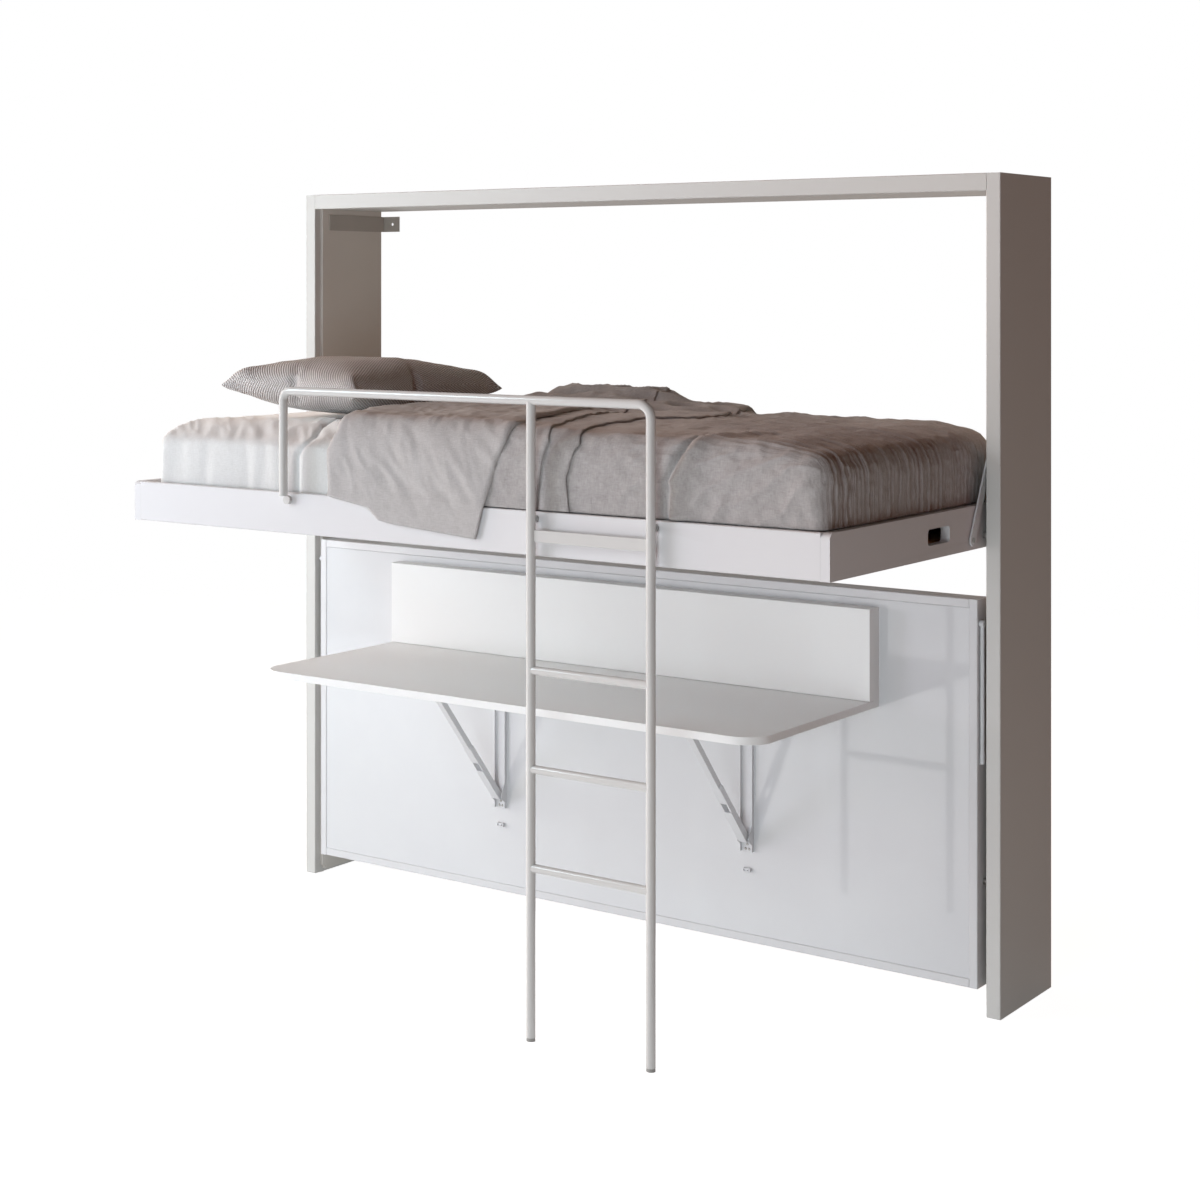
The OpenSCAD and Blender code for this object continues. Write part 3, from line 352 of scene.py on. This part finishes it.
def woven_cloth(name, light, dark, thread, mottle, sheen, roughness=0.85, drawn=0):
    """Plain weave of two sets of threads, a cloudy mottle, and lines drawn tight at the foot.

    The threads are drawn 3 mm apart, as finer ones wouldn't show, and the drawn lines 9.5 mm.
    """
    material, tree, place, out = blank_material(name)
    fine, long = 1 / thread, 0.22 / thread
    warp = add(tree, "ShaderNodeTexNoise", {"Vector": add(tree, "ShaderNodeMapping", {
        "Vector": place, "Scale": (long, fine, fine)}).outputs[0], "Scale": 1.0, "Detail": 2})
    weft = add(tree, "ShaderNodeTexNoise", {"Vector": add(tree, "ShaderNodeMapping", {
        "Vector": place, "Scale": (fine, long, long)}).outputs[0], "Scale": 1.0, "Detail": 2})
    weave = add(tree, "ShaderNodeMath", {0: warp.outputs["Fac"], 1: weft.outputs["Fac"]},
                operation="ADD").outputs[0]
    cloud = add(tree, "ShaderNodeTexNoise", {"Vector": place, "Scale": mottle, "Detail": 6,
                                             "Roughness": 0.65})
    mixed = add(tree, "ShaderNodeMath", {0: weave, 1: cloud.outputs["Fac"]}, operation="ADD")
    tone = add(tree, "ShaderNodeMapRange", {"Value": mixed.outputs[0], "From Min": 1.0,
                                            "From Max": 2.0}).outputs["Result"]
    colour = add(tree, "ShaderNodeMix", {"Factor": tone, "A": dark, "B": light},
                 data_type="RGBA").outputs["Result"]
    bump = add(tree, "ShaderNodeBump", {"Height": weave, "Strength": 0.5,
                                        "Distance": 0.001}).outputs["Normal"]
    bump = add(tree, "ShaderNodeBump", {"Height": cloud.outputs["Fac"], "Strength": 0.35,
                                        "Distance": 0.002, "Normal": bump}).outputs["Normal"]
    if drawn:
        lines = add(tree, "ShaderNodeTexNoise", {"Vector": add(tree, "ShaderNodeMapping", {
            "Vector": place, "Scale": (4, 105, 4)}).outputs[0], "Scale": 1.0, "Detail": 3})
        footward = add(tree, "ShaderNodeMapRange", {
            "Value": add(tree, "ShaderNodeSeparateXYZ", {0: place}).outputs["X"],
            "From Min": 0.35, "From Max": 0.85, "To Max": drawn}).outputs["Result"]
        bump = add(tree, "ShaderNodeBump", {"Height": lines.outputs["Fac"], "Strength": footward,
                                            "Distance": 0.005, "Normal": bump}).outputs["Normal"]
    finish = add(tree, "ShaderNodeBsdfPrincipled", {
        "Base Color": colour, "Roughness": roughness, "Sheen Weight": sheen,
        "Sheen Roughness": 0.5, "Specular IOR Level": 0.2, "Normal": bump})
    tree.links.new(finish.outputs[0], out.inputs["Surface"])
    return material


def block_surface(lines, open_faces=()):
    """Mesh over a box's faces at the given grid lines, welded at the edges: points and faces."""
    index, points, faces = {}, [], []

    def corner(key):
        if key not in index:
            index[key] = len(points)
            points.append([lines[k][key[k]] for k in range(3)])
        return index[key]

    for axis in range(3):
        a, b = [k for k in range(3) if k != axis]
        for end in (0, len(lines[axis]) - 1):
            if ("xyz"[axis] + ("-" if end == 0 else "+")) in open_faces:
                continue
            turned = (end == 0) != (axis == 1)
            for i in range(len(lines[a]) - 1):
                for j in range(len(lines[b]) - 1):
                    quad = []
                    for di, dj in ((0, 0), (1, 0), (1, 1), (0, 1)):
                        key = [0, 0, 0]
                        key[axis], key[a], key[b] = end, i + di, j + dj
                        quad.append(corner(tuple(key)))
                    faces.append(quad[::-1] if turned else quad)
    return np.array(points), faces


def cloth_noise(points, size, seed, octaves=3):
    """Soft noise from -1 to 1 at each point, with features about size across."""
    shift = Vector((seed * 3.17, seed * 1.31, seed * 0.77))
    return np.array([noise.fractal(Vector(p) / size + shift, 1.0, 2.0, octaves,
                                   noise_basis="PERLIN_ORIGINAL") for p in points])


def ramp(value, start, end):
    """Smooth step from 0 at start to 1 at end."""
    t = np.clip((value - start) / (end - start), 0, 1)
    return t * t * (3 - 2 * t)


def ridge(value, width):
    """A soft ridge of height 1 where the value is 0."""
    return np.exp(-(value / width) ** 2)


def make_piece(name, points, faces, material, body):
    """A mesh object that rides on a body."""
    mesh = bpy.data.meshes.new(name)
    mesh.from_pydata([tuple(map(float, p)) for p in points], [], [list(map(int, f)) for f in faces])
    mesh.polygons.foreach_set("use_smooth", [True] * len(mesh.polygons))
    mesh.materials.append(material)
    piece = bpy.data.objects.new(name, mesh)
    bpy.context.scene.collection.objects.link(piece)
    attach(piece, body)
    return piece


def apply_modifiers(piece):
    """Turn a piece's modifiers into mesh, so that it is kept as it looks."""
    depsgraph = bpy.context.evaluated_depsgraph_get()
    mesh = bpy.data.meshes.new_from_object(piece.evaluated_get(depsgraph))
    piece.modifiers.clear()
    piece.data = mesh


def rounded_block(lines, radius, open_faces=(), foot_radius=None):
    """Block with rounded edges: its flat points, its points, its faces and the way out of it."""
    flat, faces = block_surface(lines, open_faces)
    lo, hi = [np.array([line[end] for line in lines]) for end in (0, -1)]
    round_by = np.tile(np.array(radius, float) * np.ones(3), (len(flat), 1))
    if foot_radius:
        depth = np.clip((hi[2] - radius[2] - flat[:, 2]) / (hi[2] - radius[2] - lo[2]), 0, 1)
        round_by[:, :2] += (foot_radius - round_by[:, :2]) * depth[:, None]
    inner_lo, inner_hi = lo + round_by, hi - round_by
    if foot_radius:
        inner_lo[:, 2] = lo[2]
    core = np.clip(flat, inner_lo, inner_hi)
    away = (flat - core) / round_by
    away /= np.maximum(np.linalg.norm(away, axis=1, keepdims=True), 1e-9)
    points = core + away * round_by
    away = away / round_by
    away /= np.maximum(np.linalg.norm(away, axis=1, keepdims=True), 1e-9)
    return flat, points, faces, away


sheet_cotton = woven_cloth("fitted_sheet_cotton", "#d4d4d4", "#c6c6c5", 0.0026, 9, 0.7)
sheet_lo, sheet_hi = (np.array(corner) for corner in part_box("upper_mattress"))
upper_crown = 0.015


def bed_top(x, y):
    """Height of the upper mattress's crowned top."""
    u = np.clip(x / sheet_hi[0], -1, 1)
    v = np.clip((2 * y - sheet_lo[1] - sheet_hi[1]) / (sheet_hi[1] - sheet_lo[1]), -1, 1)
    return sheet_hi[2] - upper_crown * (1 - (1 - u * u) * (1 - v * v))


def fitted_mattress(node, name, body, axis, edge, top_creases, step):
    """Mattress with a fitted sheet, in the space of its CAD solid. Its faces lie across an axis."""
    lo, hi = (np.array(corner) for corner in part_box(node))
    size = hi - lo
    lines = [np.linspace(lo[k] + 0.002, hi[k] - 0.002, int(size[k] / step) + 1) for k in range(3)]
    flat, points, faces, away = rounded_block(lines, edge)
    depth = (hi[axis] - flat[:, axis]) / size[axis]
    around = [k for k in range(3) if k != axis]
    side = 1 - np.abs(away[:, axis])
    line = points[:, around[0]] + points[:, around[1]]
    wander = cloth_noise(points * np.array([1, 1, 0.25]) if axis == 2 else points, 0.16, axis + 3)
    crease = np.sin(2 * math.pi * (line / 0.085) + 5.5 * wander)
    pull = np.clip(depth * 4, 0, 1) * np.clip((1 - depth) * 3, 0, 1)
    out_by = side * pull * (0.0012 * crease + 0.0026 * wander)
    out_by += (1 - side) * 0.0022 * cloth_noise(points, 0.22, axis + 4)
    if top_creases:
        # slanting creases over the top and its front edge, and the second sheet's edge
        slant = np.column_stack([points[:, 0] + 0.9 * points[:, 1], 0.22 * points[:, 0],
                                 0.6 * points[:, 2]])
        drawn = 1 - np.abs(cloth_noise(slant, 0.055, 8, 2)) * 2.4
        open_bed = ramp(-points[:, 0], 0.30, 0.42)
        out_by += 0.0034 * np.clip(drawn, -0.6, 1) * open_bed * ramp(flat[:, 2], 1.335, 1.375) \
            * ramp(-points[:, 1], 0.05, 0.40)
        hem = points[:, 0] + 0.469 - 0.043 * ramp(points[:, 2], 1.301, 1.374) \
            + 0.455 * np.clip(points[:, 1] - lo[1], 0, None)
        out_by += open_bed * (0.0035 * ramp(hem, -0.001, 0.004)
                              - 0.0090 * ridge(hem + 0.001, 0.0075))
        out_by -= 0.016 * ramp(points[:, 0], -0.30, -0.26)
    points = points + away * out_by[:, None]
    if axis == 2:
        top = ramp(flat[:, 2], lo[2] + 0.7 * size[2], hi[2])
        points[:, 2] -= (hi[2] - bed_top(points[:, 0], points[:, 1])) * top
    points = np.clip(points, lo + 0.0005, hi + 0.002)
    piece = make_piece(name, points, faces, sheet_cotton, body)
    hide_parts(node)


fitted_mattress("upper_mattress", "upper_sheeted_mattress", "upper_bed", 2,
                edge=(0.050, 0.170, 0.072), top_creases=True, step=0.0075)
fitted_mattress("lower_mattress", "lower_sheeted_mattress", "lower_bed", 1,
                edge=(0.038, 0.038, 0.038), top_creases=False, step=0.014)

# ---- pillow ----
# A feather pillow, sewn from two rectangles along its rim and blown up by its filling, so that its
# sides draw in between four pointed corners. Its case is a fine diagonal rib knit in taupe.


def rib_knit(name, light, dark, rib):
    """Rib knit: raised diagonal ribs with a hollow between them, broken by the stitches.

    It is drawn on the flat cloth, so that the ribs go round the pillow's edge as they do on cloth.
    """
    material, tree, place, out = blank_material(name)
    place = place.node.outputs["UV"]
    sway = add(tree, "ShaderNodeTexNoise", {"Vector": place, "Scale": 9, "Detail": 1})
    across_ribs = Vector((0.86, 0.51, 0)) * (2 * math.pi / rib)
    phase = add(tree, "ShaderNodeVectorMath", {0: place, 1: across_ribs},
                operation="DOT_PRODUCT").outputs["Value"]
    phase = add(tree, "ShaderNodeMath", {0: sway.outputs["Fac"], 1: 7.0, 2: phase},
                operation="MULTIPLY_ADD")
    ribs = add(tree, "ShaderNodeMath", {0: phase.outputs[0]}, operation="SINE")
    ribs = add(tree, "ShaderNodeMapRange", {"Value": ribs.outputs[0], "From Min": -1.0})
    stitch = add(tree, "ShaderNodeTexNoise", {"Vector": place, "Scale": 1 / 0.004, "Detail": 2})
    height = add(tree, "ShaderNodeMath", {0: stitch.outputs["Fac"], 1: 0.35,
                                          2: ribs.outputs["Result"]}, operation="MULTIPLY_ADD")
    colour = add(tree, "ShaderNodeMix", {"Factor": add(tree, "ShaderNodeMapRange", {
        "Value": height.outputs[0], "From Min": 0.1, "From Max": 1.1}).outputs["Result"],
        "A": dark, "B": light}, data_type="RGBA").outputs["Result"]
    bump = add(tree, "ShaderNodeBump", {"Height": height.outputs[0], "Strength": 0.8,
                                        "Distance": 0.0016}).outputs["Normal"]
    finish = add(tree, "ShaderNodeBsdfPrincipled", {
        "Base Color": colour, "Roughness": 0.9, "Sheen Weight": 0.2, "Sheen Roughness": 0.5,
        "Specular IOR Level": 0.15, "Normal": bump})
    tree.links.new(finish.outputs[0], out.inputs["Surface"])
    return material


pillow_lo, pillow_hi = (np.array(corner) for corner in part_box("upper_pillow"))
pillow_mid = (pillow_lo + pillow_hi) / 2
half = (pillow_hi - pillow_lo) / 2
across, along = 48, 64
row = along + 1
u, v = np.meshgrid(np.linspace(-1, 1, across + 1), np.linspace(-1, 1, row), indexing="ij")
swell = ((1 - np.abs(u) ** 2.4) * (1 - np.abs(v) ** 2.4)) ** 0.5
upper = np.column_stack([u.ravel(), v.ravel(), swell.ravel()])
points = np.vstack([upper, upper * (1, 1, -1)])
own = np.arange(len(points))
rim = (np.abs(upper[:, :2]).max(axis=1) > 0.9999).nonzero()[0]
own[rim + len(upper)] = rim
faces = []
for i in range(across):
    for j in range(along):
        quad = np.array([i * row + j, (i + 1) * row + j, (i + 1) * row + j + 1, i * row + j + 1])
        faces += [own[quad], own[quad + len(upper)][::-1]]
kept, renumbered = np.unique(np.array(faces), return_inverse=True)
points, faces = points[kept], renumbered.reshape(-1, 4)
pillow_case = rib_knit("rib_knit_pillowcase", "#d5d0cf", "#98938f", 0.0066)
cut_over, first_thickness = 1.06, 0.02     # the case is cut 6% over its outline, and starts flat
pillow = make_piece("pillow", points * (half[0] * cut_over, half[1] * cut_over, first_thickness),
                    faces, pillow_case, "upper_bed")
# the knit follows the cloth: each corner of a face keeps its place on the flat cloth
flat_cloth = pillow.data.uv_layers.new(name="flat_cloth")
corners = np.empty(len(pillow.data.loops), int)
pillow.data.loops.foreach_get("vertex_index", corners)
flat_cloth.data.foreach_set("uv", (points[corners, :2] * half[:2]).ravel())
puff = pillow.modifiers.new("filling", "CLOTH")
puff.settings.use_pressure = True
puff.settings.uniform_pressure_force = 9.0
puff.settings.quality = 6
puff.settings.mass = 0.25
puff.settings.tension_stiffness = 12
puff.settings.compression_stiffness = 12
puff.settings.shear_stiffness = 6
puff.settings.bending_stiffness = 0.4
puff.settings.effector_weights.gravity = 0
puff.collision_settings.use_collision = False
filled_at = 30
bpy.context.scene.frame_start, bpy.context.scene.frame_end = 1, filled_at
for step in range(1, filled_at + 1):
    bpy.context.scene.frame_set(step)
apply_modifiers(pillow)
bpy.context.scene.frame_set(1)
shaped = np.empty(len(pillow.data.vertices) * 3)
pillow.data.vertices.foreach_get("co", shaped)
shaped = shaped.reshape(-1, 3)
shaped = shaped / np.abs(shaped).max(axis=0)
# laid down: the rim at 89 mm, lowest at the rear right, with more filling below it than above
foot = bed_top(pillow_mid[0], pillow_mid[1])
rim_up = 0.089
rim_z = foot + rim_up - 0.0055 * (shaped[:, 0] + shaped[:, 1])
height = shaped[:, 2]
tip = ramp(np.abs(shaped[:, 0] * shaped[:, 1]), 0.45, 0.95)
shaped[:, :2] = pillow_mid[:2] + shaped[:, :2] * half[:2]
sag = cloth_noise(np.column_stack([shaped[:, :2], height * 0.05]), 0.10, 21)
shaped[:, 2] = rim_z + height * np.where(height > 0, pillow_hi[2] - foot - rim_up, rim_up)
shaped[:, 2] += sag * 0.004 * ramp(np.abs(height), 0.1, 0.8)
shaped[:, 2] += height * tip * 0.010 * np.cos(40 * (shaped[:, 0] - pillow_mid[0]))
shaped[:, 2] = np.maximum(shaped[:, 2], bed_top(shaped[:, 0], shaped[:, 1]) + 0.0008)
pillow.data.vertices.foreach_set("co", shaped.ravel())
pillow.data.update()
soften = pillow.modifiers.new("soften", "SUBSURF")
soften.levels = soften.render_levels = 1
apply_modifiers(pillow)
pillow.data.polygons.foreach_set("use_smooth", [True] * len(pillow.data.polygons))
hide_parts("upper_pillow")
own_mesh(pillow)

# ---- duvet ----
# A thin washed-linen duvet, laid over the mattress and tucked between it and the boards. It is
# turned back in three layers, whose hems run down its front side. Its rear is thrown back in a
# heap, and at the foot it is drawn down in fine pleats.

linen = woven_cloth("washed_linen_duvet", "#afabaa", "#959190", 0.0030, 30, 0.25, 0.9, 0.9)
rail_lo, rail_hi = (np.array(corner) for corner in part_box("upper_front_rail"))
front_y, rear_y = sheet_lo[1] - 0.012, sheet_hi[1] + 0.012
low_z, high_z = rail_hi[2] + 0.003, sheet_hi[2] - upper_crown + 0.022
# the block's lines stand close together at the two hems, so that their lips are crisp
hem_at = (0.28, 0.36)
lip = np.array([-9, -4, -1.5, -0.5, 0, 0.5, 4, 9]) / 1000
columns = np.arange(-0.36, sheet_hi[0] + 0.0115, 0.0065)
columns = columns[np.min([np.abs(columns - x) for x in hem_at], axis=0) > 0.012]
columns = np.sort(np.concatenate([columns] + [x + lip for x in hem_at]))
flat, points, faces, away = rounded_block(
    [columns, np.arange(front_y, rear_y + 0.002, 0.0045), np.linspace(low_z, high_z, 34)],
    (0.050, 0.050, 0.085), open_faces=("z-",), foot_radius=0.03)
upness = np.clip(away[:, 2], 0, 1)
# how far along each hem's way a point is: 0 to 1 up the front side, then back over the top
way = np.clip((flat[:, 2] - low_z) / (high_z - low_z), 0, 1) + (flat[:, 1] - front_y) / 0.9
near = np.interp(way, [0, .13, .91, 1, 1.127, 1.453, 2],
                 [.272, .274, .296, .298, .256, .181, .10])
far = np.interp(way, [0, .42, 1, 1.19, 1.415, 1.546, 1.66, 1.98],
                [.360, .351, .379, .330, .333, .418, .415, .357])
open_end = np.interp(way, [0, 1, 1.2, 1.5, 2], [-.335, -.335, -.365, -.392, -.396])
x = points[:, 0]
still = 0.75
places = [(columns[0], open_end), (hem_at[0], near), (hem_at[1], far),
          (still, np.full(len(x), still))]
warped = x.copy()
for (x0, to0), (x1, to1) in zip(places, places[1:]):
    between = (x >= x0) & (x <= x1)
    warped[between] = (to0 + (to1 - to0) * (x - x0) / (x1 - x0))[between]
points[:, 0] = warped
# the layers' thickness, their rolled lips and the shadow lines under them
for x0, thick, rolled in zip(hem_at, (0.0050, 0.0060), (0.4, 1.0)):
    past = flat[:, 0] - x0
    points += away * (thick * np.interp(past, [-.05, -.009, -.004, -.0015, -.0005, 0, .0005, .004],
                                        [1, 1.05, 1.0, .85, .6, -.1, -.1, 0]))[:, None]
    points[:, 0] += rolled * np.interp(past, [-.0015, -.0005, 0, .0005, .004],
                                       [0, 0, -.005, -.003, 0])
points[:, 2] += (bed_top(points[:, 0], points[:, 1]) - sheet_hi[2] + upper_crown) * upness


def heap_height(x, y):
    """The heap into which the duvet is thrown back along its rear."""
    heap = np.interp(x, [-.40, -.32, -.26, -.225, -.075, .051, .143, .210, .381, .662, 1.0],
                     [.004, .012, .030, .046, .048, .046, .042, .017, .012, .005, 0])
    return heap * ramp(y, 0.10, 0.35)


bulge = cloth_noise(points, 0.30, 31, 2)
fine = cloth_noise(points, 0.07, 32, 3)
folds = cloth_noise(points * (0.55, 1.1, 1), 0.11, 35, 2)
rumple = upness * ramp(points[:, 1], -0.12, 0.22) * ramp(-points[:, 0], -0.75, -0.15)
lift = upness * heap_height(points[:, 0], points[:, 1])
lift += rumple * 0.019 * (0.6 - np.abs(folds) * 2.6)
crumple = 1 - np.abs(cloth_noise(points * (0.8, 0.8, 1), 0.045, 39, 2)) * 3
out_by = 0.0035 * bulge + 0.0016 * fine + 0.0016 * crumple
# one soft upright fold on the front side, right of the ladder
crook = points[:, 0] - 0.616 - 0.038 * ramp(points[:, 2], 1.30, 1.40) \
    - 0.35 * np.clip(points[:, 1] - front_y - 0.02, 0, None) + 0.004 * bulge
fold = 1 - ramp(points[:, 1], -0.40, -0.22)
out_by += fold * (0.0085 * ridge(crook - 0.026, 0.024)
                  - 0.0125 * ridge(crook + 0.003, 0.009))
# fine pleats, which fan out over the top and run straight down the foot end
foot = ramp(flat[:, 0], 0.30, 0.88)
fan = flat[:, 1] * (1 + 0.22 * (1 - foot)) + 0.06 * (1 - foot) ** 2 \
    + 0.008 * cloth_noise(points * (0.35, 1, 0.35), 0.06, 36, 2)
pleat = np.sin(2 * math.pi * fan / 0.021) + 0.55 * np.sin(2 * math.pi * fan / 0.0347 + 1.0)
gathered = 0.55 + 0.9 * np.clip(cloth_noise(points * (0.3, 1, 0.3), 0.12, 38, 2), -0.5, 0.6)
on_end = np.clip(np.abs(away[:, 0]) + upness, 0, 1) * (1 - 0.8 * np.abs(away[:, 1]))
out_by += (0.0020 + 0.0018 * upness) * pleat * gathered * foot * on_end
# slanting pulls across the front side
slant = flat[:, 2] - 0.55 * flat[:, 0]
pulls = np.sin(math.pi * slant / 0.070 + 2.6 * cloth_noise(points, 0.16, 37, 2))
pulls = 1 - 2.2 * np.abs(pulls) ** 0.7
out_by += 0.0022 * pulls * np.clip(-away[:, 1], 0, 1) * ramp(points[:, 0], 0.42, 0.62)
points += away * out_by[:, None]
points[:, 2] += lift - 0.024 * upness * ramp(points[:, 0], 0.84, 1.03)
points = np.maximum(points, (-9, front_y - 0.0125, low_z))
duvet = make_piece("duvet", points, faces, linen, "upper_bed")
stuffing = duvet.modifiers.new("stuffing", "SOLIDIFY")
stuffing.thickness, stuffing.offset = 0.009, -1
apply_modifiers(duvet)

# the flap, turned back over the front rail, with its lower corner hanging free
start_y, flat_steps = 0.16, 60
turn = np.linspace(0, math.pi / 2, 12)[1:]
arc_y, arc_z = front_y + 0.050, high_z - 0.085
arc_out, arc_up, off_rail = 0.066, 0.104, 0.0045
way_y = np.concatenate([np.linspace(start_y, arc_y, flat_steps), arc_y - arc_out * np.sin(turn),
                        np.full(5, arc_y - arc_out), np.full(22, rail_lo[1] - off_rail)])
way_z = np.concatenate([np.full(flat_steps, arc_z + arc_up), arc_z + arc_up * np.cos(turn),
                        np.linspace(arc_z, 1.236, 6)[1:], np.linspace(1.228, 1.140, 22)])
spent = np.concatenate([[0], np.cumsum(np.hypot(np.diff(way_y), np.diff(way_z)))])


def spent_at(z):
    """Length of cloth laid from the flap's start down to height z on its hanging part."""
    return np.interp(-z, -way_z[flat_steps - 1:], spent[flat_steps - 1:])


# its right and left edges and its hem, as the cloth lies
right_mark = [start_y - y for y in (0.16, 0.0735, -0.2745, -0.4545)] \
    + [spent_at(z) for z in (1.380, 1.332, 1.237, 1.143)]
right = [.076, .065, .150, .186, .180, .162, .133, .107]
left_mark = [start_y - y for y in (0.1255, -0.0925, -0.2755, -0.4765)] \
    + [spent_at(z) for z in (1.383, 1.332, 1.233)]
left = [-.380, -.372, -.360, -.340, -.329, -.351, -.345]
hem_x = [-.345, -.313, -.224, -.185, -.141, .107]
hem_z = [1.219, 1.213, 1.199, 1.169, 1.162, 1.143]
wide_n, long_n = 96, 150
points, faces = [], []
for i in range(wide_n + 1):
    s = i / wide_n
    full = spent_at(np.interp(-0.345 + 0.452 * s, hem_x, hem_z))
    t = np.linspace(0, full, long_n + 1)
    y, z = np.interp(t, spent, way_y), np.interp(t, spent, way_z)
    x = (1 - s) * np.interp(t, left_mark, left) + s * np.interp(t, right_mark, right)
    over = np.clip((z - arc_z) / arc_up, 0, 1)
    z = z + over * (bed_top(x, y) - sheet_hi[2] + upper_crown) - 0.014 * ramp(y, 0.0, 0.15)
    points += list(zip(x, y, z, over, np.full(len(x), s)))
points = np.array(points)
over, s, points = points[:, 3], points[:, 4], points[:, :3].copy()
for i in range(wide_n):
    for j in range(long_n):
        a = i * (long_n + 1) + j
        faces.append([a, a + long_n + 1, a + long_n + 2, a + 1])
soft = cloth_noise(points * (1.0, 1.0, 0.6) + 0.5 * points[:, [2, 2, 0]], 0.15, 41, 2)
slack = cloth_noise(np.column_stack([points[:, 0] + 0.7 * points[:, 2], points[:, 1],
                                     0.3 * points[:, 2] - 0.3 * points[:, 0]]), 0.05, 42, 2)
soft += 0.30 - 0.9 * np.abs(slack)
rolled = np.clip(1 - s / 0.03, 0, 1) ** 2 + np.clip(1 - (1 - s) / 0.02, 0, 1) ** 2
above = ramp(points[:, 2], rail_hi[2] - 0.01, rail_hi[2] + 0.04)
points[:, 1] -= (1 - over) * (above * 0.006 * soft
                              + (1 - above) * 0.0025 * np.clip(soft + 0.8, 0, 2))
points[:, 1] += above * 0.006 * rolled * (1 - over)
points[:, 2] += over * (0.006 * soft - 0.008 * rolled)
flap_linen = woven_cloth("washed_linen_flap", "#b7b4b3", "#a6a2a1", 0.0030, 24, 0.2, 0.9)
flap = make_piece("duvet_flap", points, faces, flap_linen, "upper_bed")
stuffing = flap.modifiers.new("stuffing", "SOLIDIFY")
stuffing.thickness, stuffing.offset = 0.0045, 0
apply_modifiers(flap)
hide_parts("upper_duvet")
for piece in (duvet, flap):
    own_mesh(piece)
